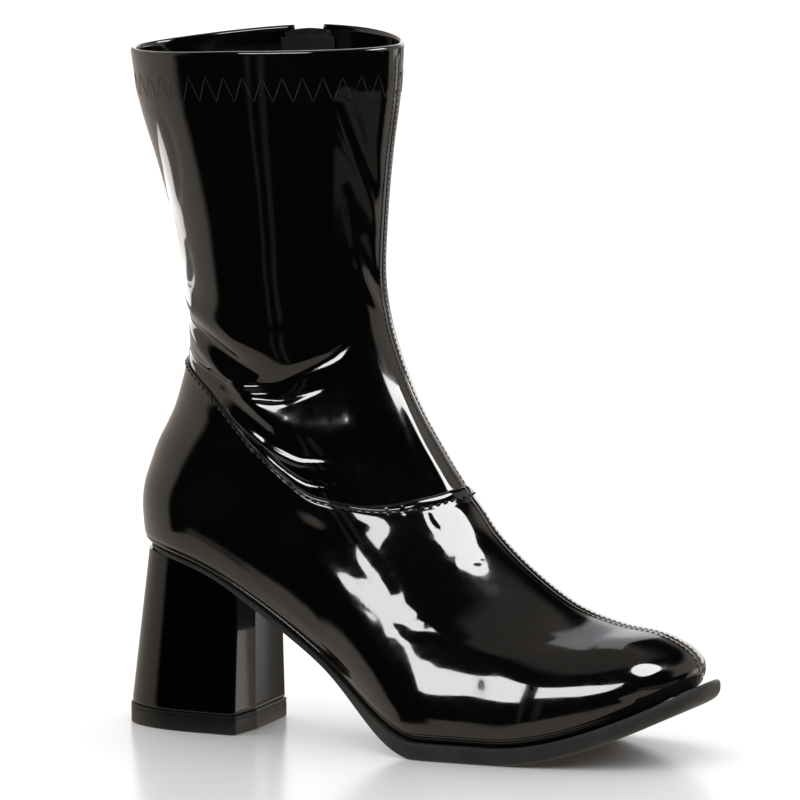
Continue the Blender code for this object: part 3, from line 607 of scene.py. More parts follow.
def patent(name, wave=0.00012, shine=1.0):
    """Glossy patent: black film with faint waves, dust and fine orange peel."""
    made, tree, shader = material(name, (0.002, 0.002, 0.0022), 0.1, 0.0, shine, 0.02)
    shader.inputs["Specular IOR Level"].default_value = 0.5 * shine
    place = coordinates(tree)
    film = ramp(tree, noise(tree, place, 34.0, 4.0),
                ((0.3, (0.0005, 0.0005, 0.0006)), (0.55, (0.0009, 0.0009, 0.0010)),
                 (0.8, (0.0016, 0.0015, 0.0014))))
    tree.links.new(film, shader.inputs["Base Color"])
    dull = noise(tree, place, 210.0, 6.0, 0.7)
    tree.links.new(spread(tree, dull, 0.05, 0.14), shader.inputs["Roughness"])
    bump(tree, shader, ((noise(tree, place, 26.0, 2.0), wave * 4.0, 0.35),
                        (noise(tree, place, 95.0, 2.0), wave, 0.3),
                        (noise(tree, place, 900.0, 3.0), 0.000004, 0.5)), True)
    return made


def rubber(name, dark, light, rough):
    """Moulded rubber with fine grain and paler worn spots."""
    made, tree, shader = material(name, dark, rough)
    place = coordinates(tree)
    tone = ramp(tree, noise(tree, place, 60.0, 6.0, 0.65), ((0.3, dark), (0.75, light)))
    tree.links.new(tone, shader.inputs["Base Color"])
    grain = noise(tree, place, 1700.0, 4.0, 0.7)
    tree.links.new(spread(tree, grain, rough - 0.1, rough + 0.12),
                   shader.inputs["Roughness"])
    bump(tree, shader, ((noise(tree, place, 240.0, 5.0, 0.6), 0.00012, 0.5),
                        (grain, 0.00005, 0.6)))
    return made


def woven(name, dark, light, pitch, rough=0.85, sheen=0.2):
    """Textile with a two-way weave of a given pitch in metres."""
    made, tree, shader = material(name, dark, rough)
    shader.inputs["Sheen Weight"].default_value = sheen
    shader.inputs["Sheen Roughness"].default_value = 0.5
    place = coordinates(tree)
    waves = []
    for axis in ("X", "Z"):
        node = tree.nodes.new("ShaderNodeTexWave")
        node.bands_direction = axis
        node.inputs["Scale"].default_value = 0.314 / pitch / 2.0
        node.inputs["Distortion"].default_value = 0.6
        node.inputs["Detail"].default_value = 1.5
        tree.links.new(place, node.inputs["Vector"])
        waves.append(node.outputs["Fac"])
    blend = tree.nodes.new("ShaderNodeMath")
    blend.operation = "MAXIMUM"
    tree.links.new(waves[0], blend.inputs[0])
    tree.links.new(waves[1], blend.inputs[1])
    thread = blend.outputs["Value"]
    tone = ramp(tree, thread, ((0.25, dark), (0.9, light)))
    mottle = tree.nodes.new("ShaderNodeMix")
    mottle.data_type = "RGBA"
    mottle.blend_type = "MULTIPLY"
    mottle.inputs["Factor"].default_value = 0.5
    shade = ramp(tree, noise(tree, place, 420.0, 4.0), ((0.3, (0.55, 0.55, 0.55)),
                                                       (0.7, (1.0, 1.0, 1.0))))
    tree.links.new(tone, mottle.inputs["A"])
    tree.links.new(shade, mottle.inputs["B"])
    tree.links.new(mottle.outputs["Result"], shader.inputs["Base Color"])
    bump(tree, shader, ((thread, 0.00018, 0.8),
                        (noise(tree, place, 2600.0, 3.0), 0.00006, 0.5)))
    return made


def lacquer(name, colour, rough):
    """Painted metal, a little worn on its high spots."""
    made, tree, shader = material(name, colour, rough, 0.85, 0.4, 0.15)
    place = coordinates(tree)
    wear = noise(tree, place, 1300.0, 5.0, 0.7)
    tone = ramp(tree, wear, ((0.45, colour), (0.72, tuple(c * 2.2 for c in colour)),
                             (0.86, (0.16, 0.16, 0.17))))
    tree.links.new(tone, shader.inputs["Base Color"])
    tree.links.new(spread(tree, wear, rough - 0.08, rough + 0.15),
                   shader.inputs["Roughness"])
    bump(tree, shader, ((wear, 0.00002, 0.5),))
    return made


def thread_material(name, colour):
    """Twisted sewing thread with a soft shine."""
    made, tree, shader = material(name, colour, 0.42)
    shader.inputs["Sheen Weight"].default_value = 0.25
    place = coordinates(tree)
    twist = noise(tree, place, 3200.0, 2.0)
    tone = ramp(tree, twist, ((0.35, tuple(c * 0.6 for c in colour)), (0.7, colour)))
    tree.links.new(tone, shader.inputs["Base Color"])
    bump(tree, shader, ((twist, 0.00008, 0.7),))
    return made


PATENT_FOOT = patent("patent_foot")
PATENT_SHAFT = patent("patent_shaft")
PATENT_HEEL = patent("patent_heel", 0.00004, 0.6)
SOLE_RUBBER = rubber("sole_rubber", (0.026, 0.025, 0.024), (0.048, 0.046, 0.044), 0.42)
TIP_RUBBER = rubber("tip_rubber", (0.007, 0.007, 0.007), (0.013, 0.013, 0.013), 0.36)
LINING = woven("lining_textile", (0.012, 0.012, 0.013), (0.040, 0.040, 0.042), 0.0009)
SOCK = woven("sock_textile", (0.016, 0.015, 0.014), (0.055, 0.052, 0.048), 0.0007)
TAPE = woven("zip_weave", (0.005, 0.005, 0.0055), (0.02, 0.02, 0.021), 0.0005, 0.8)
COIL = rubber("zip_nylon", (0.018, 0.018, 0.019), (0.035, 0.035, 0.037), 0.35)
METAL = lacquer("zip_lacquer", (0.022, 0.022, 0.024), 0.3)
THREAD = thread_material("thread_black", (0.006, 0.006, 0.0065))
THREAD_SEAM = thread_material("thread_seam", (0.010, 0.010, 0.0105))


# Upper

def over_feather(inset, lift, turn):
    """Points at an inset from the feather outline and a lift over its height."""
    flat = feather_plan(inset, turn)
    height = feather_height(flat[:, 0]) + lift
    return np.column_stack([flat, height])


def feather_plan(inset, turn):
    """Plan outline of the feather line, drawn inwards by an inset."""
    zero = np.zeros_like(turn)
    here, ahead, behind = (plain_surface(turn + step, zero)[:, :2] for step in (0.0, 0.01, -0.01))
    tangent = unit(ahead - behind)
    inward = np.stack([-tangent[:, 1], tangent[:, 0]], 1)
    return here + inward * np.asarray(inset)[..., None]


def make_foot():
    """Lasted foot part: margin turned in underneath, top edge over the shaft."""
    turn = np.arange(312) * 2.0 * math.pi / 312
    rows = np.concatenate([np.linspace(0.0, 2.0, 26), np.linspace(2.0, 8.6, 72)[1:],
                           np.linspace(8.6, SEAM_ROW + 0.03, 14)[1:]])
    edge_row = seam_row(turn) + SEAM_EDGE
    share = smooth((rows - 7.0) / (rows[-1] - 7.0))[:, None]
    grid_row = rows[:, None] + (edge_row - rows[-1])[None, :] * share
    outer, out = face_grid(turn, rows, grid_row)
    off = grid_row - edge_row[None, :]
    top = smooth(-off / EDGE_FALL)
    bead = EDGE_BEAD * np.exp(-((off + 0.10) / 0.05) ** 2)
    groove = STITCH_GROOVE * np.exp(-((off + SEAM_EDGE) / EDGE_FALL) ** 2)
    outer = outer + out * (FOOT_STEP * (0.35 + 0.65 * top) + bead - groove)[..., None]
    inner = outer - out * (PATENT_THICK * (0.4 + 0.6 * top))[..., None]
    lift = outer[0, :, 2] - feather_height(feather_plan(0.0, turn)[:, 0])
    wide = EDGE_ROUND + FOOT_STEP
    tight = wide - PATENT_THICK
    low_out = [over_feather(LASTING_MARGIN, 0.0, turn)]
    low_in = [over_feather(LASTING_MARGIN, PATENT_THICK, turn)]
    for part in range(0, 90, 15):
        lean = math.radians(part)
        up = lift * (1.0 - math.cos(lean))
        low_out.append(over_feather(EDGE_ROUND - wide * math.sin(lean), up, turn))
        low_in.append(over_feather(EDGE_ROUND - tight * math.sin(lean),
                                   PATENT_THICK + up * tight / wide, turn))
    outer = np.concatenate([np.array(low_out), outer])
    inner = np.concatenate([np.array(low_in), inner])
    vertices, faces = shell(outer, inner, True)
    return new_piece("foot_patent", vertices, faces, PATENT_FOOT)


def make_shaft():
    """Shaft with its hem rolled to the inside and the slot's folded edges."""
    turn = columns_with_slot(260)
    rows = np.concatenate([np.linspace(8.4, 13.2, 110), np.linspace(13.2, 17.0, 60)[1:],
                           np.linspace(17.0, COLLAR_ROW, 18)[1:]])
    outer, out = face_grid(turn, rows)
    grid_turn, grid_row = np.meshgrid(turn, rows)
    sink = slot_roll(grid_turn) * smooth((grid_row - ZIP_ROW_BOTTOM + 0.1) / 0.2)
    hem = HEM_STEP * smooth((grid_row - HEM_STEP_ROW) / 0.05)
    press = ZIGZAG_PRESS * np.exp(-((grid_row - ZIGZAG_ROW) / 0.26) ** 2)
    outer = outer + out * (hem - sink - press)[..., None]
    thick = np.minimum(wall(grid_row), 1.5)
    thick = np.where(grid_row > HEM_START_ROW, wall(grid_row) - 0.15, thick)
    inner = outer - out * np.maximum(thick - sink * 0.4, 0.9)[..., None]
    top = []
    top_in = []
    span = outer[-1] - inner[-1]
    for share, rise_by in ((0.93, 0.45), (0.78, 0.85), (0.5, 1.05)):
        top.append(inner[-1] + span * share + np.array([0.0, 0.0, rise_by]))
        top_in.append(inner[-1] + span * (1.0 - share) + np.array([0.0, 0.0, rise_by]))
    outer = np.concatenate([outer, np.array(top)])
    inner = np.concatenate([inner, np.array(top_in)])
    outer[-1] = (outer[-1] + inner[-1]) / 2.0
    inner[-1] = outer[-1]
    vertices, faces = shell(outer, inner, True, slot_cut(rows, turn))
    return new_piece("shaft_patent", vertices, faces, PATENT_SHAFT)


def make_lining():
    """Textile face inside, from the insole up to the turned hem."""
    turn = columns_with_slot(156)
    rows = np.linspace(0.15, 17.15, 70)
    grid_turn, grid_row = np.meshgrid(turn, rows)
    out = normals(grid_turn, grid_row)
    depth = wall(grid_row) - fold_relief(grid_turn, grid_row) - 0.32
    outer = plain_surface(grid_turn, grid_row) - out * depth[..., None]
    inner = outer - out * LINING_THICK
    vertices, faces = shell(outer, inner, True, slot_cut(rows, turn))
    return new_piece("lining", vertices, faces, LINING)


# Stitches

def place_at(angle, row, lift):
    """Points over the finished face at given angles and rows, and their normals."""
    plain = plain_surface(angle, row)
    out = normals(angle, row)
    height = relief(angle, row, plain) + lift
    return plain + out * height[..., None], out


def capsules(name, starts, ends, outs, radius, flat, thread):
    """Short stitches as flattened capsules between pairs of points."""
    vertices = []
    faces = []
    ring = 6
    for a, b, up in zip(starts, ends, outs):
        side = unit(np.cross(b - a, up))
        top = unit(np.cross(side, b - a))
        base = len(vertices)
        vertices.append(a)
        for place, size in ((0.12, 0.72), (0.35, 1.0), (0.65, 1.0), (0.88, 0.72)):
            spot = a + (b - a) * place + top * radius * flat * 0.5 * size
            for k in range(ring):
                lean = 2.0 * math.pi * k / ring
                vertices.append(spot + side * radius * size * math.cos(lean)
                                + top * radius * flat * size * math.sin(lean))
        vertices.append(b)
        last = len(vertices) - 1
        faces += ring_faces(ring, 4, base + 1)
        for k in range(ring):
            n = (k + 1) % ring
            faces.append((base, base + 1 + n, base + 1 + k))
            faces.append((last - ring + k, last - ring + n, last))
    return new_piece(name, np.array(vertices), faces, thread)


def along_curve(angle, row, pitch, start=0.0):
    """Angles and rows at an even pitch in mm along a curve over the face."""
    points = plain_surface(angle, row)
    step = np.linalg.norm(np.diff(points, axis=0), axis=1)
    run = np.concatenate([[0.0], np.cumsum(step)])
    places = np.arange(start, run[-1], pitch)
    return np.interp(places, run, angle), np.interp(places, run, row)


def make_zigzag():
    """Zigzag that holds the hem, from one side of the slot round to the other."""
    half = SLOT_EDGE + math.radians(1.2)
    turn = np.linspace(SLOT_MIDDLE + half, SLOT_MIDDLE + 2.0 * math.pi - half, 600)
    level = ZIGZAG_ROW - 0.14 * smooth((1.0 - np.cos(turn)) / 2.0)
    angle, row = along_curve(turn, level, ZIGZAG_PITCH)
    side = np.where(np.arange(len(angle)) % 2 == 0, ZIGZAG_HALF, -ZIGZAG_HALF)
    spots, out = place_at(angle, row + side, 0.10)
    return capsules("hem_zigzag", spots[:-1], spots[1:], out[:-1], 0.17, 0.9, THREAD)


def stitch_run(angle, row, pitch, lift, half, start=0.0):
    """Starts, ends and normals of stitches at an even pitch along a curve."""
    spots, out = place_at(*along_curve(angle, row, pitch, start), lift)
    arm = unit(np.gradient(spots, axis=0)) * half
    return spots - arm, spots + arm, out


def sew(name, runs, radius, thread):
    """One piece from several runs of stitches."""
    starts, ends, outs = (np.concatenate(part) for part in zip(*runs))
    return capsules(name, starts, ends, outs, radius, 0.8, thread)


def make_cross_seam():
    """Stitches in the groove of the cross seam."""
    turn = np.linspace(0.02, 2.0 * math.pi - 0.02, 900)
    angle, row = along_curve(turn, seam_row(turn), CROSS_PITCH)
    lift = FOOT_STEP + 0.02
    spots, out = place_at(angle, row, lift)
    ahead, _ = place_at(angle + 0.006, seam_row(angle + 0.006), lift)
    arm = unit(ahead - spots) * 1.1
    return capsules("cross_seam_stitches", spots - arm, spots + arm, out, 0.5, 0.9,
                    THREAD_SEAM)


def make_front_seam():
    """Two rows of stitches along the front seam, on the foot and on the shaft."""
    runs = []
    for side in (-1.0, 1.0):
        for low, high, lift in ((1.2, SEAM_ROW - 0.3, FOOT_STEP), (SEAM_ROW + 0.12, 17.9, 0.0)):
            rows = np.linspace(low, high, 400)
            line, near = (plain_surface(np.full_like(rows, math.pi - step), rows)
                          for step in (0.0, 0.02))
            pace = np.linalg.norm(near - line, axis=1) / 0.02
            turn = math.pi + side * FRONT_STITCH_OFF / np.maximum(pace, 4.0)
            runs.append(stitch_run(turn, rows, FRONT_PITCH, lift + 0.16, 0.8))
    return sew("front_seam_stitches", runs, 0.2, THREAD_SEAM)


def make_zip_edges():
    """Stitches along both edges of the slot and across its lower end."""
    reach = SLOT_EDGE + ZIP_STITCH_OFF / SLOT_PACE
    low = ZIP_ROW_BOTTOM - 0.2
    rows = np.linspace(low, 17.95, 500)
    runs = [stitch_run(np.full_like(rows, SLOT_MIDDLE + side * reach), rows, ZIP_PITCH, 0.02, 0.9)
            for side in (-1.0, 1.0)]
    turn = np.linspace(SLOT_MIDDLE - reach, SLOT_MIDDLE + reach, 60)
    runs.append(stitch_run(turn, np.full_like(turn, low), ZIP_PITCH, 0.02, 0.9, 1.0))
    return sew("zip_edge_stitches", runs, 0.22, THREAD)


# Sole and heel

def plate(turn, margin, top, bottom, edge, across=10):
    """Plate over the feather outline with rounded edges."""
    count = len(turn)
    half = count // 2
    rings = []
    steps = []
    for k in range(5):
        lean = math.radians(90.0 * k / 4.0)
        steps.append((edge * (1.0 - math.sin(lean)), -edge * (1.0 - math.cos(lean)), top))
    for k in range(5):
        lean = math.radians(90.0 * (4 - k) / 4.0)
        steps.append((edge * (1.0 - math.sin(lean)), edge * (1.0 - math.cos(lean)), bottom))
    for inset, lift, face in steps:
        flat = feather_plan(inset - margin, turn)
        rings.append(np.column_stack([flat, face(flat[:, 0]) + lift]))
    vertices = list(np.concatenate(rings))
    faces = ring_faces(count, len(rings))
    for ring, face in ((0, top), (len(rings) - 1, bottom)):
        start = ring * count
        lines = []
        for k in range(1, half):
            one = rings[ring][k]
            other = rings[ring][count - k]
            line = [start + k]
            for m in range(1, across):
                spot = one + (other - one) * m / across
                vertices.append(np.array([spot[0], spot[1], face(spot[0])]))
                line.append(len(vertices) - 1)
            line.append(start + count - k)
            lines.append(line)
        for one, other in zip(lines, lines[1:]):
            for m in range(across):
                faces.append((one[m], one[m + 1], other[m + 1], other[m]))
        for m in range(across):
            faces.append((start, lines[0][m + 1], lines[0][m]))
            faces.append((start + half, lines[-1][m], lines[-1][m + 1]))
    return vertices, faces


def make_outsole():
    """Outsole with a rounded edge."""
    turn = np.arange(208) * 2.0 * math.pi / 208
    along = feather_plan(0.0, turn)[:, 0]
    side = WELT_SIDE * smooth((along - WELT_BACK_X) / WELT_BACK_RUN)
    toe = (WELT_TOE - WELT_SIDE) * smooth((along - WELT_TOE_X) / WELT_TOE_RUN)
    seat = -SEAT_INSET * smooth((SEAT_EDGE_X - along) / SEAT_RUN)
    vertices, faces = plate(turn, side + toe + seat,
                            lambda x: feather_height(x) - SOLE_GAP,
                            lambda x: feather_height(x) - sole_thickness(x),
                            SOLE_EDGE_ROUND + TOE_EDGE_ROUND * smooth(
                                (along - TOE_EDGE_X) / TOE_EDGE_RUN))
    made = new_piece("sole_rubber", vertices, faces, SOLE_RUBBER)
    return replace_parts(made, "outsole")


def heel_outline(level, grow=0.0, fine=28):
    """Plan of the block heel: round back, straight sides, two-faced breast."""
    back = HEEL_BACK_X + HEEL_TOP_BACK_IN * level - grow
    half = HEEL_BREADTH / 2.0 - HEEL_TOP_SIDE_IN * level + grow
    front = HEEL_FRONT_X + grow
    start = HEEL_SIDE_START_X
    points = []
    for k in range(-fine, fine + 1):
        lean = math.radians(90.0 * k / (fine + 1))
        x = start - (start - back) * math.cos(lean) ** 0.86
        y = half * math.copysign(abs(math.sin(lean)) ** 0.86, lean)
        points.append((x, y))
    side = [(start, half)]
    for lean in range(0, 91, 15):
        turn = math.radians(lean)
        side.append((front - HEEL_CORNER + HEEL_CORNER * math.sin(turn),
                     half - HEEL_CORNER + HEEL_CORNER * math.cos(turn)))
    points += side
    for off in (-0.45, -0.2, 0.0, 0.2, 0.45):
        points.append((front + BREAST_RIDGE - 0.12 * abs(off) / 0.45, BREAST_RIDGE_Y - off))
    points += [(x, -y) for x, y in reversed(side)]
    return np.array(points)


def prism(rings, close_low=True, close_high=True):
    """Closed solid from stacked rings."""
    count = len(rings[0])
    vertices = list(np.concatenate(rings))
    faces = ring_faces(count, len(rings))
    for close, start, ring in ((close_low, 0, rings[0]),
                               (close_high, (len(rings) - 1) * count, rings[-1])):
        if close:
            vertices.append(ring.mean(0))
            for c in range(count):
                faces.append((start + c, start + (c + 1) % count, len(vertices) - 1))
    return vertices, faces


def seat_height(along):
    """Top of the heel block, following the underside of the outsole."""
    return feather_height(along) - sole_thickness(along) - FIT_GAP


def make_heel():
    """Covered block heel with its folded lower edge."""
    floor = TIP_THICK + FIT_GAP
    rings = []
    for level in (0.0, 0.006, 0.02, 0.05, 0.12, 0.25, 0.4, 0.55, 0.7, 0.85, 0.95, 1.0):
        flat = heel_outline(level)
        tuck = 0.3 * (1.0 - min(level / 0.02, 1.0)) ** 2
        flat = flat - unit(flat - flat.mean(0)) * tuck
        height = floor + (seat_height(flat[:, 0]) - floor) * level
        rings.append(np.column_stack([flat, height]))
    top = rings[-1]
    middle = top.mean(0)
    for share in (0.97, 0.7, 0.4):
        ring = middle + (top - middle) * share
        ring[:, 2] = seat_height(ring[:, 0])
        rings.append(ring)
    vertices, faces = prism(rings)
    made = new_piece("heel_wrap", vertices, faces, PATENT_HEEL)
    sharpen(made)
    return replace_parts(made, "heel")


def sharpen(piece, angle=40.0):
    """Smooth shading with crisp edges over an angle."""
    mesh = piece.data
    work = bmesh.new()
    work.from_mesh(mesh)
    for edge in work.edges:
        if len(edge.link_faces) == 2 and edge.calc_face_angle(0.0) > math.radians(angle):
            edge.smooth = False
    work.to_mesh(mesh)
    work.free()


def make_heel_tip():
    """Rubber top piece with rounded edges and a shallow line round it."""
    rings = []
    for grow, height in ((TIP_OVERHANG - TIP_EDGE, 0.0), (TIP_OVERHANG - 0.15, 0.15),
                         (TIP_OVERHANG, TIP_EDGE), (TIP_OVERHANG, 6.2),
                         (TIP_OVERHANG - 0.2, 6.35), (TIP_OVERHANG - 0.2, 6.6),
                         (TIP_OVERHANG, 6.75), (TIP_OVERHANG, TIP_THICK - TIP_EDGE),
                         (TIP_OVERHANG - 0.15, TIP_THICK - 0.15),
                         (TIP_OVERHANG - TIP_EDGE, TIP_THICK)):
        flat = heel_outline(0.0, grow)
        rings.append(np.column_stack([flat, np.full(len(flat), height)]))
    vertices, faces = prism(rings)
    made = new_piece("tip_rubber", vertices, faces, TIP_RUBBER)
    sharpen(made, 35.0)
    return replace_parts(made, "heel_tip")


# Zip

def zip_lift(row):
    """Lift of the tape's outer face."""
    return -wall(row) - TAPE_GAP


def row_below_collar(drop):
    """Row number at a drop under the collar on the inner side."""
    rows = np.linspace(COLLAR_ROW - 2.0, COLLAR_ROW, 81)
    heights = plain_surface(SLOT_MIDDLE, rows)[:, 2]
    return float(np.interp(heights[-1] - drop, heights, rows))


def make_coil():
    """Two rows of interlocked nylon teeth on the tape."""
    rows = np.linspace(ZIP_ROW_BOTTOM + 0.35, row_below_collar(CHAIN_DROP), 700)
    plain = plain_surface(SLOT_MIDDLE, rows)
    step = np.linalg.norm(np.diff(plain, axis=0), axis=1)
    run = np.concatenate([[0.0], np.cumsum(step)])
    row = np.interp(np.arange(0.5, run[-1] - 0.4, TOOTH_PITCH), run, rows)
    turn = np.full_like(row, SLOT_MIDDLE)
    out = normals(turn, row)
    height = fold_relief(turn, row) + zip_lift(row) + FIT_GAP
    spot = plain_surface(turn, row) + out * height[:, None]
    up = unit(np.gradient(spot, axis=0))
    side = np.cross(up, out)
    vertices = []
    faces = []
    profile = ((-0.26, 0.62), (0.26, 0.62), (0.4, 1.0), (0.26, 1.5), (-0.26, 1.5), (-0.4, 1.0))
    sections = ((-0.55, 0.6, 0.25), (-0.35, 1.0, 0.35), (1.2, 0.85, 0.3), (2.35, 0.9, 0.1),
                (2.65, 0.55, 0.0))
    ring = len(profile)
    for k in range(len(row)):
        hand = 1.0 if k % 2 else -1.0
        base = len(vertices)
        for reach, size, raise_by in sections:
            for along, high in profile:
                level = high * (0.55 + 0.45 * size) + raise_by * 0.3 - 0.35
                vertices.append(spot[k] + side[k] * hand * reach
                                + up[k] * along * size * 0.85 + out[k] * level)
        faces += ring_faces(ring, len(sections), base)
        for end in (base, base + (len(sections) - 1) * ring):
            faces.append(tuple(range(end, end + ring)))
    made = new_piece("zip_coil", np.array(vertices), faces, COIL)
    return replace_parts(made, "zip_teeth")


def make_tape_end():
    """Folded cloth end of the zip, from the chain's top to just under the rim."""
    rows = np.linspace(row_below_collar(4.6), row_below_collar(0.5), 14)
    half = SLOT_EDGE * 1.5
    turn = np.linspace(SLOT_MIDDLE - half, SLOT_MIDDLE + half, 34)
    grid_turn, grid_row = np.meshgrid(turn, rows)
    out = normals(grid_turn, grid_row)
    share = (grid_turn - SLOT_MIDDLE) / half
    pucker = 0.35 * np.cos(share * 9.0) * smooth((grid_row - rows[3]) / 0.1)
    droop = 1.3 * np.abs(share) ** 2.5
    height = zip_lift(grid_row) + 0.5 + pucker
    middle = plain_surface(grid_turn, grid_row) + out * height[..., None]
    middle[..., 2] -= droop * smooth((grid_row - rows[0]) / (rows[-1] - rows[0]))
    vertices, faces = shell(middle + out * 0.3, middle - out * 0.3, False)
    made = new_piece("zip_tape_end", vertices, faces, TAPE)
    return made


def dress_nodes():
    """Better materials and softened edges for the CAD nodes that stay."""
    for name, finish, edge in (("insole", SOCK, 0.0), ("zip_tape", TAPE, 0.0),
                               ("zip_slider", METAL, 0.00022), ("zip_pull", METAL, 0.0002)):
        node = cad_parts[name]
        for slot in node.material_slots:
            slot.material = finish
        if edge:
            soft = node.modifiers.new("soft_edges", "BEVEL")
            soft.width = edge
            soft.segments = 2
            soft.limit_method = "ANGLE"
            soft.angle_limit = math.radians(35.0)


# Studio

# Soft boxes in metres: name, place, aim, size, watts, shape.
FOOT_LIGHTS = (
    ("vamp_tall", (-0.177, -1.0, 0.305), (0.1, 0.0, 0.1), (0.27, 0.43), 3.4, "RECTANGLE"),
    ("vamp_low", (0.302, -0.385, 0.134), (0.302, 0.0, 0.134), (0.316, 0.11), 1.0, "RECTANGLE"),
    ("side_softbox", (1.17, -0.30, 1.05), (0.1, 0.0, 0.1), (1.18, 0.92), 27.5, "ELLIPSE"),
)
SHAFT_LIGHTS = (
    ("fold_box", (0.14, -0.81, 0.77), (0.03, -0.03, 0.15), (0.80, 0.28), 7.0, "RECTANGLE"),
    ("back_strip", (-0.162, 0.092, 0.164), (0.004, -0.02, 0.164), (0.19, 0.034), 0.042,
     "RECTANGLE"),
    ("front_slit", (1.02, 0.29, 0.80), (0.075, -0.02, 0.13), (0.50, 0.42), 6.6, "RECTANGLE"),
)

# Zones of the dim room: level, then ramps of azimuth or elevation in degrees, each
# from where the zone is absent to where it is full. Azimuth 0 looks along -Y.
UNDER_SEAT = (("el", -15.0, -13.0), ("el", -2.0, -4.0))
BEHIND = (("el", 26.0, 20.0), ("el", -11.0, -9.5))
SLIT = (("el", -24.5, -21.5), ("el", 6.5, 3.5))
WARM_ZONES = (
    (0.42, ("az", -58.0, -66.0), ("el", 42.0, 30.0)),
    (0.42, ("az", 122.0, 128.0), ("el", 42.0, 30.0)),
    (0.42, ("az", 98.0, 104.0), ("el", -5.0, -1.0), ("el", 42.0, 30.0)),
    (0.42, ("el", -24.0, -28.0)),
    (0.085, ("az", -12.3, -10.7), ("az", -7.7, -9.3), *SLIT),
    (0.085, ("az", -3.8, -2.2), ("az", 2.3, 0.7), *SLIT),
    (0.2, ("el", 50.0, 66.0), ("el", 104.0, 88.0)),
    (0.13, ("az", 55.0, 61.0), ("az", 115.0, 109.0), ("el", -25.5, -22.5),
     ("el", -13.5, -16.5)),
)
WHITE_ZONES = (
    (0.85, ("az", -147.0, -153.0), ("el", -4.0, 0.0), *BEHIND),
    (0.85, ("az", -153.5, -155.0), *BEHIND),
    (0.85, ("az", 168.0, 172.0), *BEHIND),
    (0.62, ("az", 135.0, 137.0), ("az", 153.0, 151.0), *UNDER_SEAT),
    (0.8, ("az", -172.0, -169.0), ("az", -148.5, -151.5), ("el", 16.0, 20.0),
     ("el", 76.0, 72.0)),
)
DIM_ZONES = (
    (0.75, ("az", 152.0, 153.0), *UNDER_SEAT),
    (0.75, ("az", -160.0, -166.0), *UNDER_SEAT),
)
ROOM_TINT = (("X", 1.08, 1.0), ("Y", 0.96, 1.03), ("Z", 0.84, 1.08))
ROOM_DARK = 0.004


def make_camera():
    """Camera at the photograph's angle."""
    a = math.radians(AZIMUTH)
    e = math.radians(ELEVATION)
    right = Vector((math.cos(a), math.sin(a), 0.0))
    back = Vector((math.sin(a) * math.cos(e), -math.cos(a) * math.cos(e), math.sin(e)))
    up = back.cross(right)
    data = bpy.data.cameras.new("camera")
    data.lens = LENS
    data.sensor_width = 36.0
    data.clip_start = 0.1
    data.clip_end = 40.0
    camera = bpy.data.objects.new("camera", data)
    bpy.context.scene.collection.objects.link(camera)
    camera.location = right * LOOK_RIGHT + up * LOOK_UP + back * DISTANCE
    camera.rotation_mode = "QUATERNION"
    camera.rotation_quaternion = (-back).to_track_quat("-Z", "Y")
    bpy.context.scene.camera = camera


def area_light(name, place, aim, size, watts, shape="RECTANGLE", lit=None):
    """Area light that looks at a point, and lights one collection or everything."""
    data = bpy.data.lights.new(name, "AREA")
    data.shape = shape
    data.size, data.size_y = size
    data.energy = watts
    light = bpy.data.objects.new(name, data)
    bpy.context.scene.collection.objects.link(light)
    light.location = place
    light.rotation_mode = "QUATERNION"
    light.rotation_quaternion = (Vector(aim) - Vector(place)).to_track_quat("-Z", "Y")
    light.visible_camera = False
    if lit is not None:
        light.light_linking.receiver_collection = lit
    return light


def make_floor():
    """Pale floor, which the gloss doesn't mirror."""
    work = bmesh.new()
    bmesh.ops.create_circle(work, cap_ends=True, segments=96, radius=14.0)
    mesh = bpy.data.meshes.new("floor")
    work.to_mesh(mesh)
    work.free()
    floor = bpy.data.objects.new("floor", mesh)
    floor.location = (0.0, 0.0, -0.00005)
    bpy.context.scene.collection.objects.link(floor)
    made, tree, shader = material("floor_paint", (0.86, 0.86, 0.86), 0.28)
    tree.links.new(spread(tree, noise(tree, coordinates(tree), 3.0, 2.0), 0.19, 0.22),
                   shader.inputs["Roughness"])
    shader.inputs["Specular IOR Level"].default_value = 0.25
    mesh.materials.append(made)
    floor.visible_glossy = False


def make_lights(foot, shaft):
    """Overhead panel, and the soft boxes that the foot part or the shaft mirrors."""
    sky = area_light("sky_panel", (-0.6, 1.3, 3.2), (-0.6, 1.3, 0.0), (14.0, 14.0), 800.0)
    sky.visible_glossy = False
    for piece, lights in ((foot, FOOT_LIGHTS), (shaft, SHAFT_LIGHTS)):
        lit = bpy.data.collections.new("lit_" + piece.name)
        lit.objects.link(piece)
        for light in lights:
            area_light(*light, lit)


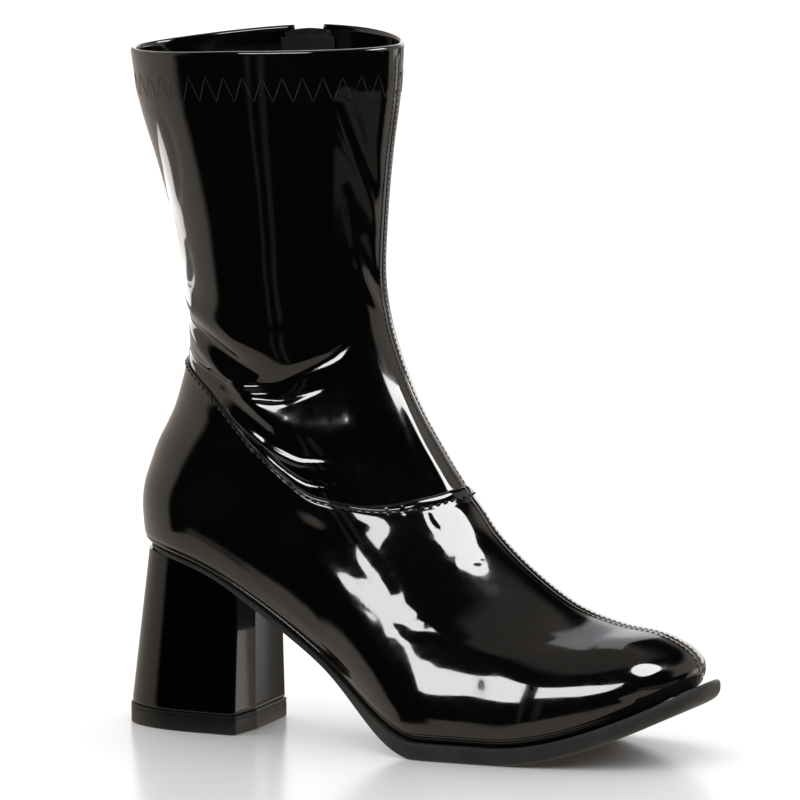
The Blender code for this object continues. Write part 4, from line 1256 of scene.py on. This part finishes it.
def make_room():
    """World: white to the camera, and a dim room of zones to the gloss."""
    world = bpy.data.worlds.new("studio")
    bpy.context.scene.world = world
    world.use_nodes = True
    tree = world.node_tree
    tree.nodes.clear()
    split = tree.nodes.new("ShaderNodeSeparateXYZ")
    tree.links.new(tree.nodes.new("ShaderNodeTexCoord").outputs["Generated"],
                   split.inputs["Vector"])
    x, y, z = (split.outputs[k] for k in ("X", "Y", "Z"))

    def calc(operation, *values):
        node = tree.nodes.new("ShaderNodeMath")
        node.operation = operation
        for k, value in enumerate(values):
            if isinstance(value, float):
                node.inputs[k].default_value = value
            else:
                tree.links.new(value, node.inputs[k])
        return node.outputs["Value"]

    def band(value, low, high):
        node = tree.nodes.new("ShaderNodeMapRange")
        node.interpolation_type = "SMOOTHSTEP"
        node.inputs["From Min"].default_value = low
        node.inputs["From Max"].default_value = high
        tree.links.new(value, node.inputs["Value"])
        return node.outputs["Result"]

    def strongest(zones):
        total = None
        for level, *ramps in zones:
            value = level
            for axis, low, high in ramps:
                value = calc("MULTIPLY", band(angles[axis], low, high), value)
            total = value if total is None else calc("MAXIMUM", total, value)
        return total

    degrees = math.degrees(1.0)
    angles = {"az": calc("MULTIPLY", calc("ARCTAN2", x, calc("MULTIPLY", y, -1.0)), degrees),
              "el": calc("MULTIPLY", calc("ARCSINE", z), degrees)}
    keep = calc("SUBTRACT", 1.0, strongest(DIM_ZONES))
    warm = calc("MULTIPLY", strongest(WARM_ZONES), keep)
    white = calc("MULTIPLY", strongest(WHITE_ZONES), keep)
    tint = tree.nodes.new("ShaderNodeCombineXYZ")
    for axis, warm_share, white_share in ROOM_TINT:
        total = calc("ADD", calc("MULTIPLY", warm, warm_share),
                     calc("MULTIPLY", white, white_share))
        tree.links.new(calc("ADD", total, ROOM_DARK), tint.inputs[axis])
    room, plain = (tree.nodes.new("ShaderNodeBackground") for _ in range(2))
    tree.links.new(tint.outputs["Vector"], room.inputs["Color"])
    plain.inputs["Color"].default_value = (1.0, 1.0, 1.0, 1.0)
    pick = tree.nodes.new("ShaderNodeMixShader")
    seen = tree.nodes.new("ShaderNodeLightPath").outputs["Is Camera Ray"]
    tree.links.new(seen, pick.inputs["Fac"])
    tree.links.new(room.outputs["Background"], pick.inputs[1])
    tree.links.new(plain.outputs["Background"], pick.inputs[2])
    output = tree.nodes.new("ShaderNodeOutputWorld")
    tree.links.new(pick.outputs["Shader"], output.inputs["Surface"])


bpy.context.scene.view_settings.view_transform = "Standard"
make_camera()
make_floor()
make_room()
foot = make_foot()
shaft = make_shaft()
lining = make_lining()
for piece in (foot, shaft, lining):
    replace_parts(piece, "upper")
make_lights(foot, shaft)
make_zigzag()
make_cross_seam()
make_front_seam()
make_zip_edges()
make_outsole()
make_heel()
make_heel_tip()
make_coil()
make_tape_end()
dress_nodes()
